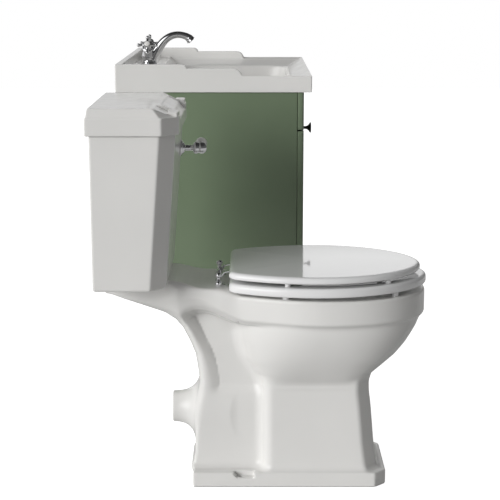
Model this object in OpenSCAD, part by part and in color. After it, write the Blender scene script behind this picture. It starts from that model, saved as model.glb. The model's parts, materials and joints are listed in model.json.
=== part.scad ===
// Combined vanity and toilet unit: a close-coupled toilet beside a wall-hung vanity basin.
// Both stand against one wall. Front is -Y, right is +X, up is +Z, millimetres.
// Toilet parts are drawn about the toilet's centre line and vanity parts about the basin's,
// each with the wall at y = 0, and at_toilet() and at_vanity() set them side by side.

/* [Layout] */
// Gap between the cistern lid and the side of the basin
side_gap = 252; // [120:2:500]

/* [Pan] */
// Reach of the pan's rim from the wall
pan_reach = 693; // [640:1:740]
// Width of the pan's rim
rim_w = 322; // [300:1:370]
// Height of the rim above the floor
rim_top = 415; // [395:1:460]
// Height of the rim's upright face
rim_face = 50; // [35:1:70]
// Height and depth of the bevel under the rim's face
rim_bevel = 10; // [4:1:16]
// Width of the flat rim round the bowl
rim_land = 40; // [32:1:55]
// Distance from the wall to the widest part of the rim
rim_mid = 480; // [440:1:520]
// Distance from the wall to the bowl opening's back edge
bowl_back = 335; // [320:1:370]
// Depth of the bowl below the rim
bowl_depth = 315; // [260:1:330]
// Width of the deck under the cistern
deck_w = 172; // [164:1:200]
// Height of the deck's top above the floor
deck_top = 437; // [425:1:480]
// Gap between the wall and the deck's back edge
deck_back = 22; // [12:1:40]
// Width of the pedestal at the floor
pedestal_w = 190; // [160:1:210]
// Width of the pedestal at its neck
neck_w = 174; // [150:1:200]
// Distance from the wall to the pedestal's front at the neck
neck_front = 584; // [560:1:610]
// Distance from the wall to the pedestal's front at the floor
pedestal_front = 597; // [570:1:620]
// Distance from the wall to the pedestal's back
pedestal_back = 353; // [330:1:380]
// Height of the pedestal's neck
neck_h = 200; // [170:1:230]
// Width of the plinth
plinth_w = 215; // [205:1:250]
// Reach of the plinth's front from the wall
plinth_front = 611; // [600:1:640]
// Gap between the wall and the plinth's back
plinth_back = 203; // [190:1:215]
// Height of the plinth
plinth_h = 31; // [20:1:45]
// Chamfer on the plinth's front corners
plinth_chamfer = 24; // [10:1:35]
// Wall of the hollow foot
foot_wall = 17; // [12:1:22]
// Height of the hollow under the foot
foot_hollow = 62; // [40:1:70]
// Width of the trap behind the pedestal
trap_w = 124; // [104:1:150]
// Depth of the sunk web on each side of the trap
recess_depth = 12; // [4:1:16]
// Outer diameter of the soil outlet
outlet_d = 67; // [60:1:76]
// Height of the soil outlet's centre
outlet_h = 145; // [120:1:180]
// Gap between the wall and the soil outlet's end
outlet_back = 157; // [140:1:175]
// Straight length of the soil outlet behind its root
outlet_reach = 36; // [30:1:40]
// Wall of the soil outlet
outlet_wall = 6; // [4:0.5:8]
// Diameter of the two floor screw holes
floor_hole_d = 8; // [5:0.5:10]
// Distance between the floor screw holes
floor_hole_gap = 190; // [184:1:196]
// Distance from the wall to the floor screw holes
floor_hole_back = 302; // [260:1:330]

/* [Cistern] */
// Width of the cistern's top
cistern_w = 366; // [340:1:400]
// Width of the cistern's bottom
cistern_foot_w = 358; // [330:1:380]
// Reach of the cistern's front at the top
cistern_front = 177; // [165:1:200]
// Reach of the cistern's front at the bottom
cistern_foot_front = 154; // [145:1:170]
// Gap between the wall and the cistern's back
cistern_back = 9; // [4:1:15]
// Height of the cistern body's top above the floor
cistern_top = 762; // [740:1:800]
// Chamfer on the cistern's front corners
cistern_chamfer = 31; // [15:1:45]
// Wall of the cistern
cistern_wall = 9; // [6:0.5:12]
// Thickness of the cistern's floor
cistern_floor = 14; // [9:1:20]
// Gap between the pan's deck and the cistern
coupling_gap = 2; // [1:0.5:4]
// Overhang of the cistern lid
lid_overhang = 6; // [4:0.5:12]
// Height of the lid's skirt
lid_skirt = 33; // [25:1:45]
// How far the skirt hangs below the cistern's top
lid_lap = 9; // [4:1:14]
// Rise of the lid above its skirt
lid_rise = 21; // [10:1:30]
// Inset of the lid's flat top
lid_inset = 11; // [5:1:25]
// Height of the bead round the lid
lid_bead = 9; // [5:1:12]
// Thickness of the lid's top
lid_wall = 12; // [8:1:18]

/* [Flush] */
// Drop from the cistern's top to the flush lever's axis
lever_drop = 70; // [56:1:74]
// Distance of the flush lever from the centre line
lever_x = 115; // [112:1:120]
// Diameter of the lever's rose
rose_d = 36; // [30:1:42]
// Diameter of the lever's spindle
spindle_d = 10; // [8:0.5:11]
// Clearance round the spindle
spindle_fit = 0.05; // [0.02:0.01:0.1]
// Length of the lever from its axis to the ceramic handle's middle
lever_reach = 84; // [78:1:100]
// Diameter of the ceramic handle
ceramic_d = 27; // [20:1:32]
// Radius of the flush outlet through the cistern's floor
flush_r = 27; // [22:1:30]
// Height of the siphon above the cistern's floor
siphon_h = 205; // [190:1:208]
// Distance of the siphon's bell from the centre line
bell_x = 52; // [51:0.5:54]
// Distance of the fill valve from the centre line
fill_x = 122; // [120:1:132]
// Diameter of the fill valve's threaded inlet
inlet_d = 20.96; // [20:0.01:21]
// Height of the fill valve's pillar above the cistern's floor
fill_h = 215; // [200:1:218]
// Radius of the fill valve's pillar
pillar_r = 11; // [9:0.5:13]
// Height of the fill valve's float
float_h = 62; // [50:1:75]

/* [Seat] */
// Width of the seat and lid
seat_w = 350; // [330:1:380]
// Reach of the seat from the wall
seat_reach = 696; // [650:1:740]
// Distance from the wall to the seat's back edge
seat_back = 280; // [272:1:290]
// Width of the seat's straight back edge
seat_back_w = 244; // [220:1:260]
// Thickness of the seat
seat_t = 19; // [15:0.5:24]
// Thickness of the lid
lid_t = 14.5; // [12:0.5:20]
// Gap between the rim and the seat
seat_gap = 10; // [8:0.5:12]
// Gap between the seat and the lid
seat_lid_gap = 8.5; // [6:0.5:11]
// How far the lid's front stands behind the seat's front
lid_back_set = 13; // [5:1:20]
// Width of the seat's ring
seat_land = 66; // [55:1:80]
// Distance from the wall to the seat's hinge
hinge_back = 257; // [250:1:262]
// Height of the seat's hinge above the rim
hinge_rise = 18; // [16:0.5:22]
// Distance between the hinge's fixing bolts
hinge_gap = 126; // [122:1:132]
// Diameter of the hinge pin
hinge_pin_d = 7; // [5:0.5:8]
// Clearance between the hinge pin and the straps
hinge_fit = 0.05; // [0.02:0.01:0.1]

/* [Vanity] */
// Width of the basin
basin_w = 700; // [600:1:800]
// Depth of the basin from the wall
basin_d = 470; // [440:1:520]
// Height of the basin's flat top above the floor
basin_top = 822.5; // [790:0.5:860]
// Thickness of the basin's edge
basin_edge = 37.5; // [30:0.5:50]
// Rise of the basin's sides at the back
upstand_back = 26.5; // [18:0.5:40]
// Rise of the basin's sides at the middle
upstand_mid = 16.3; // [8:0.1:17]
// Thickness of the upstand
upstand_t = 15; // [10:1:20]
// Distance from the wall to the foot of the upstand's first step
step_1 = 172; // [150:1:190]
// Distance from the wall to the foot of the upstand's second step
step_2 = 303; // [260:1:330]
// Length of the first step's round edge
step_1_run = 8; // [5:1:15]
// Length of the second step's round edge
step_2_run = 21; // [10:1:30]
// Width of the basin's front rim
front_land = 48; // [40:1:60]
// Depth of the tap deck from the wall
tap_deck = 120; // [105:1:130]
// Width of the basin's bowl
basin_bowl_w = 570; // [520:1:590]
// Depth of the basin's bowl below its flat top
basin_bowl_h = 122; // [100:1:135]
// Wall of the basin's bowl
basin_wall = 12; // [9:1:16]

/* [Cabinet] */
// Height of the cabinet
cabinet_h = 450; // [400:1:500]
// How far the cabinet's sides stand in from the basin's
cabinet_inset = 5; // [2:1:12]
// Distance from the wall to the cabinet's front face
cabinet_front = 451.5; // [448:0.5:465]
// Thickness of the cabinet's boards
board_t = 16; // [15:1:19]
// Thickness of the fascia
front_t = 16; // [14:0.5:20]
// Height of the fixed fascia
fascia_h = 92; // [80:1:110]
// Gap between the fascia and the drawer front
front_gap = 4; // [2:0.5:5]
// Width of the drawer front's frame
frame_w = 66; // [50:1:80]
// Depth of the drawer front's sunk panel
panel_sink = 6; // [4:0.5:8]
// Height of the drawer's box
drawer_h = 150; // [110:1:160]
// Depth of the drawer's box
drawer_d = 380; // [340:1:390]
// Thickness of the drawer's sides
drawer_t = 12; // [10:1:14]
// Width of each drawer runner
runner_w = 12.7; // [12:0.1:13.5]
// Diameter of the knob
knob_d = 28; // [22:1:34]
// Projection of the knob
knob_reach = 32; // [24:1:38]

/* [Tap] */
// Distance from the wall to the tap's middle
tap_back = 56; // [52:1:60]
// Diameter of the tap's foot
tap_foot_d = 47; // [40:1:50]
// Height of the tap's body above the deck
tap_body_h = 46; // [40:1:56]
// Height of the spout's top above the deck
spout_h = 88; // [75:1:110]
// Reach of the spout from the tap's middle
spout_reach = 113; // [95:1:130]
// Diameter of the spout
spout_d = 16; // [14:0.5:19]
// Upward tilt of the handles
handle_tilt = 33; // [20:1:45]
// Distance of each handle's middle from the tap's middle
handle_out = 50; // [46:1:60]
// Span of each crosshead handle
handle_span = 54; // [46:1:58]
// Diameter of the tap's shank
shank_d = 32; // [28:1:34]

/* [Waste] */
// Radius of the waste's tail
waste_r = 16; // [14:0.5:18]
// Height of the bottle trap's body
trap_h = 96; // [80:1:110]
// Radius of the bottle trap's cup
trap_cup_r = 32; // [26:1:38]
// Radius of the outlet pipe
waste_pipe_r = 16; // [14:0.5:18]

/* [Hidden] */

white_china = [0.88, 0.88, 0.86];
white_seat = [0.92, 0.92, 0.91];
plated = [0.78, 0.79, 0.81];
green_paint = [0.29, 0.36, 0.26];
carcass = [0.70, 0.70, 0.66];
plastic = [0.85, 0.86, 0.87];
seal_black = [0.12, 0.12, 0.12];
brass = [0.72, 0.58, 0.30];
knob_black = [0.08, 0.08, 0.08];
steel = [0.62, 0.63, 0.65];

seat_clear = 0.3;
total_w = cistern_w + 2 * lid_overhang + side_gap + basin_w;
toilet_x = -total_w / 2 + cistern_w / 2 + lid_overhang;
vanity_x = total_w / 2 - basin_w / 2;
wall_y = max(seat_reach, pan_reach) / 2;

module at_toilet() { translate([toilet_x, wall_y, 0]) children(); }
module at_vanity() { translate([vanity_x, wall_y, 0]) children(); }

// Outline of an oval or a round-cornered rectangle, from its front and back y, half width and power
function oval(front, back, half, power, count = 48) = [
    for (i = [0 : count - 1])
        let (c = cos(360 * i / count), s = sin(360 * i / count))
        [half * sign(s) * pow(abs(s), 2 / power),
         (front + back) / 2 + (front - back) / 2 * sign(c) * pow(abs(c), 2 / power)]
];
function level(outline, z) = [for (p = outline) [p.x, p.y, z]];
function slice(outline, x) = [for (p = outline) [x, p.x, p.y]];
function unit(v) = v / max(norm(v), 0.000001);
// Outline moved inwards along the normals of its corners
function inset(outline, d) = let (n = len(outline)) [
    for (i = [0 : n - 1])
        let (a = unit(outline[i] - outline[(i + n - 1) % n]), b = unit(outline[(i + 1) % n] - outline[i]))
        let (m = unit(a + b))
        outline[i] + [m.y, -m.x] * -d / max(m * a, 0.4)
];
// Solid through a stack of outlines that have as many points each
module skin(rings) {
    n = len(rings[0]);
    m = len(rings);
    points = [for (ring = rings) each ring];
    walls = [
        for (j = [0 : m - 2]) for (i = [0 : n - 1])
            let (k = (i + 1) % n)
            each [[j * n + i, (j + 1) * n + k, j * n + k], [j * n + i, (j + 1) * n + i, (j + 1) * n + k]]
    ];
    bottom = [for (i = [0 : n - 1]) i];
    top = [for (i = [n - 1 : -1 : 0]) (m - 1) * n + i];
    polyhedron(points, concat([bottom], walls, [top]));
}
// Side view outline, given as distance along y and height, made as thick as wide
module side_profile(outline, wide) {
    rotate([90, 0, 90]) linear_extrude(height = wide, center = true) polygon(outline);
}
module ring(outer, inner, high) {
    difference() {
        cylinder(r = outer, h = high, $fn = 48);
        translate([0, 0, -1]) cylinder(r = inner, h = high + 2, $fn = 48);
    }
}
module pair(gap) {
    for (side = [-1, 1]) translate([side * gap / 2, 0, 0]) children();
}
module along_y() { rotate([90, 0, 0]) children(); }

// Pan

rim_tail = 180;
band_low = rim_top - rim_face - rim_bevel;
band_front = pan_reach - rim_bevel;
band_back = 255;
rim_power = 2.2;
function rim_outline() = let (
    half = rim_w / 2,
    front = [for (a = [0 : 7.5 : 90]) [
        half * pow(sin(a), 2 / rim_power),
        -rim_mid - (pan_reach - rim_mid) * pow(cos(a), 2 / rim_power)]],
    back = [for (t = [0.1 : 0.1 : 1]) [
        deck_w / 2 + (half - deck_w / 2) * (0.5 + 0.5 * cos(180 * t)),
        -rim_mid + (rim_mid - rim_tail) * t]],
    side = concat(front, back),
    n = len(side)
) concat(side, [for (i = [n - 1 : -1 : 1]) [-side[i].x, side[i].y]]);

// Rim's outline drawn in by the bevel, but not at its tail
function rim_low() = [for (p = rim_outline())
    let (d = rim_bevel * min(1, max(0, (-p.y - rim_tail) / 60)), a = [p.x / 0.42, p.y + rim_mid - 60])
    p - unit(a) * d];
function ease(t) = 1 - pow(1 - t, 1.9);
function body_ring(t) = let (g = ease(t))
    level(oval(-neck_front - (band_front - neck_front) * g,
               -pedestal_back - (band_back - pedestal_back) * t,
               neck_w / 2 + (rim_w / 2 - rim_bevel - neck_w / 2) * g,
               7 - 4.7 * pow(t, 0.6)), neck_h + (band_low - neck_h) * t);
module pan_bowl_outside() {
    skin([
        level(oval(-pedestal_front, -pedestal_back + 2, pedestal_w / 2, 8), plinth_h - 1),
        level(oval(-neck_front - 2, -pedestal_back, neck_w / 2 + 2, 8), neck_h * 0.6),
        for (t = [0 : 0.125 : 1]) body_ring(t)
    ]);
    skin([level(rim_low(), band_low - 1), level(rim_outline(), band_low + rim_bevel)]);
    translate([0, 0, band_low + rim_bevel - 0.01])
        linear_extrude(height = rim_face + 0.01) polygon(rim_outline());
}
trap_back = 213;
function trap_profile() = [
    [-bowl_back - 20, rim_top - 5], [-222, rim_top], [-206, rim_top + 4], [-192, rim_top + 12],
    [-178, deck_top - 3], [-164, deck_top], [-deck_back, deck_top], [-deck_back, deck_top - 25],
    [-39, deck_top - 27], [-74, deck_top - 40], [-115, deck_top - 57], [-146, deck_top - 71],
    [-167, deck_top - 86], [-182, deck_top - 106], [-198, deck_top - 138], [-208, deck_top - 168],
    [-trap_back, deck_top - 205], [-trap_back - 2, outlet_h + 50], [-trap_back + 5, 94],
    [-trap_back + 6, 72], [-plinth_back, plinth_h - 3], [-bowl_back - 20, plinth_h - 3]
];
module pan_trap_outside() {
    half = trap_w / 2;
    wide = deck_w / 2;
    low = plinth_h - 3;
    difference() {
        intersection() {
            side_profile(trap_profile(), deck_w);
            along_y() linear_extrude(height = 2 * bowl_back + 100, center = true) polygon([
                [-half, low - 1], [-half, neck_h + 20], [-half - (wide - half) * 0.35, neck_h + 70],
                [-half - (wide - half) * 0.75, neck_h + 115], [-wide, deck_top - 70], [-wide, deck_top + 1],
                [wide, deck_top + 1], [wide, deck_top - 70], [half + (wide - half) * 0.75, neck_h + 115],
                [half + (wide - half) * 0.35, neck_h + 70], [half, neck_h + 20], [half, low - 1]
            ]);
        }
        // Sunk web between the trap's leg and the bowl
        for (side = [-1, 1]) translate([side * (half - recess_depth + 50), 0, 0]) side_profile([
            [-trap_back + 10, deck_top - 67], [-trap_back + 4, deck_top - 62], [-trap_back - 17, deck_top - 61],
            [-trap_back - 33, deck_top - 65], [-trap_back - 49, deck_top - 72], [-bowl_back - 30, deck_top - 100],
            [-bowl_back - 30, neck_h + 20], [-trap_back - 45, neck_h + 19], [-trap_back - 41, neck_h + 45],
            [-trap_back - 35, neck_h + 71], [-trap_back - 27, neck_h + 93], [-trap_back - 16, neck_h + 114],
            [-trap_back - 6, deck_top - 101], [-trap_back + 2, deck_top - 84]
        ], 100);
    }
}
module plinth() {
    half = plinth_w / 2;
    linear_extrude(height = plinth_h) polygon([
        [-half, -plinth_back], [-half, -plinth_front + plinth_chamfer],
        [-half + plinth_chamfer, -plinth_front], [half - plinth_chamfer, -plinth_front],
        [half, -plinth_front + plinth_chamfer], [half, -plinth_back]
    ]);
}
module outlet(radius, from) {
    root = 12;
    translate([0, -from, outlet_h]) along_y() rotate_extrude($fn = 64) polygon(concat(
        [[0, trap_back + 30 - from], [0, 0], [radius, 0]],
        [for (a = [0 : 15 : 75]) [radius + root * (1 - cos(a)), outlet_reach + root * sin(a)]],
        [[radius + root, trap_back + 30 - from]]
    ));
}
water_r = 30;
module tube_between(a, b, radius) {
    v = b - a;
    translate(a) rotate([0, acos(v.z / norm(v)), atan2(v.y, v.x)]) cylinder(r = radius, h = norm(v), $fn = 40);
}
module pan_waterway() {
    sump = [0, -425, rim_top - bowl_depth + 36];
    weir = [0, -322, outlet_h + 52];
    fall = [0, -262, outlet_h];
    bore = outlet_d / 2 - outlet_wall;
    tube_between(sump, weir, water_r);
    translate(weir) sphere(r = water_r + 1, $fn = 40);
    tube_between(weir, fall, water_r);
    translate(fall) sphere(r = water_r + 1, $fn = 40);
    translate([0, -outlet_back + 1, outlet_h]) along_y() cylinder(r = bore, h = 262 - outlet_back + 1, $fn = 64);
}
module pan_bowl_inside() {
    front = pan_reach - rim_land;
    half = rim_w / 2 - rim_land;
    floor_z = rim_top - bowl_depth;
    skin([
        level(oval(-495, -400, 38, 2), floor_z),
        level(oval(-515, -392, 50, 2), floor_z + 22),
        level(oval(-535, -385, 60, 2), floor_z + 75),
        level(oval(-565, -372, 78, 2.1), floor_z + 125),
        level(oval(-front + 40, -bowl_back - 18, half - 16, 2.2), floor_z + 190),
        level(oval(-front + 10, -bowl_back - 2, half - 2, 2.2), rim_top - 40),
        level(oval(-front, -bowl_back, half, 2.2), rim_top + 1)
    ]);
}
hinge_hole_r = 7;
hinge_hole_depth = 46;
bolt_gap = 124;
bolt_r = 4;
bolt_hole_r = 5.5;
coupling_y = 92;
seal_r = 51;
seal_depth = 12;
module pan() {
    color(white_china) difference() {
        union() {
            pan_bowl_outside();
            pan_trap_outside();
            plinth();
            outlet(outlet_d / 2, outlet_back);
        }
        pan_bowl_inside();
        pan_waterway();
        // Hollow foot
        translate([0, 0, -1]) linear_extrude(height = foot_hollow + 1) polygon([
            [-pedestal_w / 2 + foot_wall, -pedestal_front + foot_wall + 12],
            [pedestal_w / 2 - foot_wall, -pedestal_front + foot_wall + 12],
            [pedestal_w / 2 - foot_wall, -pedestal_back - foot_wall],
            [trap_w / 2 - foot_wall, -pedestal_back - foot_wall],
            [trap_w / 2 - foot_wall, -trap_back - foot_wall],
            [-trap_w / 2 + foot_wall, -trap_back - foot_wall],
            [-trap_w / 2 + foot_wall, -pedestal_back - foot_wall],
            [-pedestal_w / 2 + foot_wall, -pedestal_back - foot_wall]
        ]);
        // Floor screw holes
        pair(floor_hole_gap) translate([0, -floor_hole_back, -1]) {
            cylinder(d = floor_hole_d, h = plinth_h + 2, $fn = 32);
            translate([0, 0, plinth_h - 5]) cylinder(d = floor_hole_d + 8, h = 10, $fn = 32);
        }
        // Blind hinge holes
        pair(hinge_gap) translate([0, -hinge_back, rim_top - hinge_hole_depth])
            cylinder(r = hinge_hole_r, h = hinge_hole_depth + 30, $fn = 40);
        // Flush inlet with the seat for the coupling seal, and the passage to the rim
        translate([0, -coupling_y, 0]) {
            translate([0, 0, deck_top - seal_depth]) cylinder(r = seal_r + 1, h = seal_depth + 1, $fn = 64);
            translate([0, 0, deck_top - 38]) cylinder(r = flush_r + 2, h = 40, $fn = 64);
        }
        tube_between([0, -coupling_y - 12, deck_top - 30], [0, -bowl_back - 20, rim_top - 26], 13);
        pair(bolt_gap) translate([0, -coupling_y, 0]) {
            translate([0, 0, deck_top - 90]) cylinder(r = bolt_hole_r, h = 100, $fn = 32);
            translate([0, 0, wing_z - 60]) cylinder(r = wing_pocket_r, h = 60, $fn = 40);
        }
    }
}

// Cistern and what couples it to the pan

cistern_z = deck_top + coupling_gap;
lever_h = cistern_top - lever_drop;
module coupling_seal() {
    color(seal_black) translate([0, -coupling_y, deck_top - seal_depth])
        ring(seal_r, siphon_nut_r + 0.5, seal_depth + coupling_gap);
}
inner_floor = cistern_z + cistern_floor;
washer_t = 3;
wing_z = deck_top - 22;
wing_pocket_r = 17.5;
bolt_foot = wing_z - 17;
module coupling_bolts() {
    head_z = inner_floor + washer_t;
    color(brass) pair(bolt_gap) translate([0, -coupling_y, 0]) {
        translate([0, 0, bolt_foot]) cylinder(r = bolt_r, h = head_z - bolt_foot + 0.5, $fn = 32);
        translate([0, 0, head_z]) cylinder(r = 8, h = 5, $fn = 6);
    }
}
module coupling_washers() {
    color(seal_black) pair(bolt_gap) translate([0, -coupling_y, inner_floor]) ring(13, bolt_r + 0.05, washer_t);
}
module coupling_wing_nuts() {
    color(brass) pair(bolt_gap) translate([0, -coupling_y, wing_z - 12]) {
        ring(8, bolt_r + 0.05, 12);
        for (side = [-1, 1]) translate([side * 10.75 - 5.25, -1.5, 0]) cube([10.5, 3, 9]);
    }
}
// Eight-sided plan of the cistern, with its front corners cut
function tank_plan(half, back, front, cut) = [
    [-half, -back], [-half, -front + cut], [-half + cut, -front], [half - cut, -front],
    [half, -front + cut], [half, -back]
];
module cistern() {
    half_top = cistern_w / 2;
    half_foot = cistern_foot_w / 2;
    wall = cistern_wall;
    color(white_china) difference() {
        skin([
            level(tank_plan(half_foot, cistern_back + 2, cistern_foot_front, cistern_chamfer), cistern_z),
            level(tank_plan(half_top, cistern_back, cistern_front, cistern_chamfer), cistern_top)
        ]);
        skin([
            level(tank_plan(half_foot - wall, cistern_back + 2 + wall, cistern_foot_front - wall,
                cistern_chamfer), inner_floor),
            level(tank_plan(half_top - wall, cistern_back + wall, cistern_front - wall,
                cistern_chamfer), cistern_top + 1)
        ]);
        translate([0, -coupling_y, cistern_z - 1]) cylinder(r = flush_r + 0.5, h = cistern_floor + 2, $fn = 64);
        pair(bolt_gap) translate([0, -coupling_y, cistern_z - 1])
            cylinder(r = bolt_hole_r, h = cistern_floor + 2, $fn = 32);
        translate([fill_x, -coupling_y, cistern_z - 1])
            cylinder(r = inlet_d / 2 + 0.5, h = cistern_floor + 2, $fn = 48);
        translate([lever_x, -cistern_front + 30, lever_h]) along_y()
            cylinder(r = bush_r + 0.5, h = 60, $fn = 40);
        pair(wall_hole_gap) translate([0, 1, wall_hole_h]) along_y() cylinder(r = 3.5, h = 30, $fn = 32);
    }
}
wall_hole_gap = 250;
wall_hole_h = 725;
lid_z = cistern_top - lid_lap;
lid_half = cistern_w / 2 + lid_overhang;
lid_front = cistern_front + lid_overhang;
module cistern_lid() {
    cut = cistern_chamfer + 3;
    skirt_z = lid_z + lid_skirt;
    lap = 1.5;
    color(white_china) difference() {
        skin([
            level(tank_plan(lid_half, 0, lid_front, cut), lid_z),
            level(tank_plan(lid_half, 0, lid_front, cut), skirt_z),
            level(tank_plan(lid_half - 1, 0, lid_front - 1, cut), skirt_z + lid_bead),
            level(tank_plan(lid_half - lid_inset, 0.8, lid_front - lid_inset, cut - 3), skirt_z + lid_rise)
        ]);
        translate([0, 0, lid_z - 1]) linear_extrude(height = lid_lap + 1)
            polygon(tank_plan(cistern_w / 2 + lap, cistern_back - lap, cistern_front + lap, cistern_chamfer + lap));
        translate([0, 0, cistern_top - 1]) linear_extrude(height = lid_skirt + lid_rise - lid_lap - lid_wall + 1)
            polygon(tank_plan(cistern_w / 2 - 16, cistern_back + 14, cistern_front - 16, cistern_chamfer));
    }
}

// Siphon

siphon_nut_r = 38;
siphon_bell_r = 30;
upleg_r = 16;
downleg_r = 21;
crown_r = 17;
tube_wall = 3;
crown_z = inner_floor + siphon_h - crown_r;
rod_r = 3;
rod_fit = 0.05;
module siphon_body() {
    bell_z = inner_floor + 13;
    bell_h = 72;
    color(plastic) translate([0, -coupling_y, 0]) difference() {
        union() {
            translate([0, 0, deck_top - 24]) cylinder(r = flush_r, h = inner_floor - deck_top + 25, $fn = 64);
            translate([0, 0, inner_floor]) cylinder(r = flush_r + 6, h = 6, $fn = 64);
            translate([0, 0, inner_floor + 5]) cylinder(r = downleg_r, h = crown_z - inner_floor - 5, $fn = 48);
            translate([0, 0, crown_z]) sphere(r = downleg_r, $fn = 48);
            translate([bell_x, 0, bell_z]) cylinder(r = siphon_bell_r, h = bell_h, $fn = 48);
            translate([bell_x, 0, bell_z + bell_h - 1])
                cylinder(r = upleg_r, h = crown_z - bell_z - bell_h + 1, $fn = 48);
            translate([0, 0, crown_z]) rotate([0, 90, 0]) cylinder(r = crown_r, h = bell_x, $fn = 48);
            translate([bell_x, 0, crown_z]) sphere(r = crown_r, $fn = 48);
            translate([bell_x, 0, crown_z]) cylinder(r = rod_r + 4, h = crown_r + 10, $fn = 32);
        }
        translate([0, 0, deck_top - 25])
            cylinder(r = downleg_r - tube_wall, h = crown_z - deck_top + 25, $fn = 48);
        translate([0, 0, crown_z]) sphere(r = downleg_r - tube_wall, $fn = 48);
        translate([0, 0, crown_z]) rotate([0, 90, 0]) cylinder(r = crown_r - tube_wall, h = bell_x, $fn = 48);
        translate([bell_x, 0, crown_z]) sphere(r = crown_r - tube_wall, $fn = 48);
        translate([bell_x, 0, bell_z + 2]) cylinder(r = upleg_r - tube_wall, h = crown_z - bell_z - 2, $fn = 48);
        translate([bell_x, 0, bell_z - 1]) cylinder(r = siphon_bell_r - tube_wall, h = bell_h - 2, $fn = 48);
        translate([bell_x, 0, crown_z]) cylinder(r = rod_r + rod_fit, h = crown_r + 11, $fn = 48);
    }
}
module siphon_nut() {
    color(plastic) translate([0, -coupling_y, cistern_z - 11.5]) difference() {
        cylinder(r = siphon_nut_r, h = 11.5, $fn = 8);
        translate([0, 0, -1]) cylinder(r = flush_r + 0.05, h = 14, $fn = 64);
    }
}
eye_t = 4;
arm_t = 4;
arm_w = 8;
module siphon_lift_rod() {
    plate_z = inner_floor + 22;
    eye_h = 26;
    color(plastic) translate([bell_x, -coupling_y, 0]) {
        translate([0, 0, plate_z]) cylinder(r = siphon_bell_r - tube_wall - 0.6, h = 4, $fn = 48);
        translate([0, 0, plate_z + 3.5])
            cylinder(r = rod_r, h = lever_h - eye_h / 2 - plate_z - 3, $fn = 48);
        translate([-eye_t / 2, -10, lever_h - eye_h / 2]) difference() {
            cube([eye_t, 20, eye_h]);
            translate([-1, 3.5, 3.5]) cube([eye_t + 2, 13, eye_h - 7]);
        }
    }
}

// Flush lever

bush_r = spindle_d / 2 + 4;
tank_slope = (cistern_front - cistern_foot_front) / (cistern_top - cistern_z);
inner_slope = (cistern_front - cistern_foot_front) / (cistern_top + 1 - inner_floor);
rose_y = cistern_foot_front + tank_slope * (lever_h - cistern_z);
nut_y = cistern_foot_front - cistern_wall + inner_slope * (lever_h - inner_floor);
rose_t = 6;
lever_hub_r = 13;
lever_hub_t = 30;
lever_hub_y = rose_y + 27;
lever_mid_y = lever_hub_y + lever_hub_t / 2;
module lever_rose() {
    color(plated) translate([lever_x, 0, lever_h]) difference() {
        union() {
            difference() {
                translate([0, -rose_y + 3, 0]) along_y()
                    cylinder(r1 = rose_d / 2 + 2, r2 = rose_d / 2 - 4, h = rose_t + 3, $fn = 48);
                translate([0, -rose_y - 0.02, 0]) rotate([atan(tank_slope), 0, 0])
                    translate([-40, 0, -40]) cube([80, 20, 80]);
            }
            translate([0, -rose_y + 23, 0]) along_y() cylinder(r = bush_r, h = 23 + rose_t + 3, $fn = 48);
        }
        translate([0, -rose_y + 30, 0]) along_y()
            cylinder(r = spindle_d / 2 + spindle_fit, h = 60, $fn = 48);
    }
}
module lever_backnut() {
    color(plated) translate([lever_x, 0, lever_h]) difference() {
        translate([0, -nut_y + 8, 0]) along_y() cylinder(r = 15, h = 11, $fn = 6);
        translate([0, -nut_y + 10, 0]) along_y() cylinder(r = bush_r + 0.05, h = 20, $fn = 48);
        translate([0, -nut_y + 0.02, 0]) rotate([atan(inner_slope), 0, 0])
            translate([-30, -20, -30]) cube([60, 20, 60]);
    }
}
module flush_lever() {
    spindle_end = coupling_y + 38;
    color(plated) translate([lever_x, 0, lever_h]) {
        translate([0, -spindle_end, 0]) along_y()
            cylinder(d = spindle_d, h = lever_hub_y + 1 - spindle_end, $fn = 48);
        translate([0, -lever_hub_y, 0]) along_y() rotate_extrude($fn = 48) polygon([
            [0, 0], [lever_hub_r - 5, 0], [lever_hub_r, 4], [lever_hub_r, lever_hub_t - 8],
            [lever_hub_r - 4, lever_hub_t - 2], [0, lever_hub_t]
        ]);
        translate([0, -lever_mid_y, 0]) rotate([0, 90, 0]) rotate_extrude($fn = 40) polygon([
            [0, 0], [7, 0], [7, 14], [4.5, 22], [4.5, lever_reach - 38], [7.5, lever_reach - 34],
            [7.5, lever_reach - 28], [3, lever_reach - 27.9], [3, lever_reach + 10], [0, lever_reach + 10]
        ]);
    }
}
module lever_ceramic_handle() {
    long = 56;
    r = ceramic_d / 2;
    color(white_china) translate([lever_x + lever_reach, -lever_mid_y, lever_h]) rotate([0, 90, 0]) difference() {
        rotate_extrude($fn = 48) polygon([
            [0, -long / 2], [8, -long / 2], for (a = [-54 : 12 : 90]) [max(r * cos(a), 0), long / 2 * sin(a)]
        ]);
        translate([0, 0, -long / 2 - 1]) cylinder(r = 3.02, h = long / 2 + 11.1, $fn = 32);
    }
}
function ribbon(path, wide) = let (
    n = len(path),
    normals = [for (i = [0 : n - 1])
        let (a = unit(path[min(i + 1, n - 1)] - path[max(i - 1, 0)])) [-a.y, a.x] * wide / 2]
) concat([for (i = [0 : n - 1]) path[i] + normals[i]], [for (i = [n - 1 : -1 : 0]) path[i] - normals[i]]);
module inner_lever_arm() {
    boss_end = coupling_y + 50;
    color(plated) difference() {
        union() {
            translate([lever_x, -boss_end + 12, lever_h]) along_y() cylinder(r = 9, h = 12, $fn = 40);
            translate([0, 0, lever_h - arm_t / 2]) linear_extrude(height = arm_t) polygon(ribbon([
                [lever_x, -boss_end + 5], [bell_x + 28, -coupling_y], [bell_x + 14, -coupling_y],
                [bell_x - 14, -coupling_y]
            ], arm_w));
        }
        translate([lever_x, -boss_end + 30, lever_h]) along_y()
            cylinder(d = spindle_d + 0.04, h = 60, $fn = 48);
    }
}

// Fill valve

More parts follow.
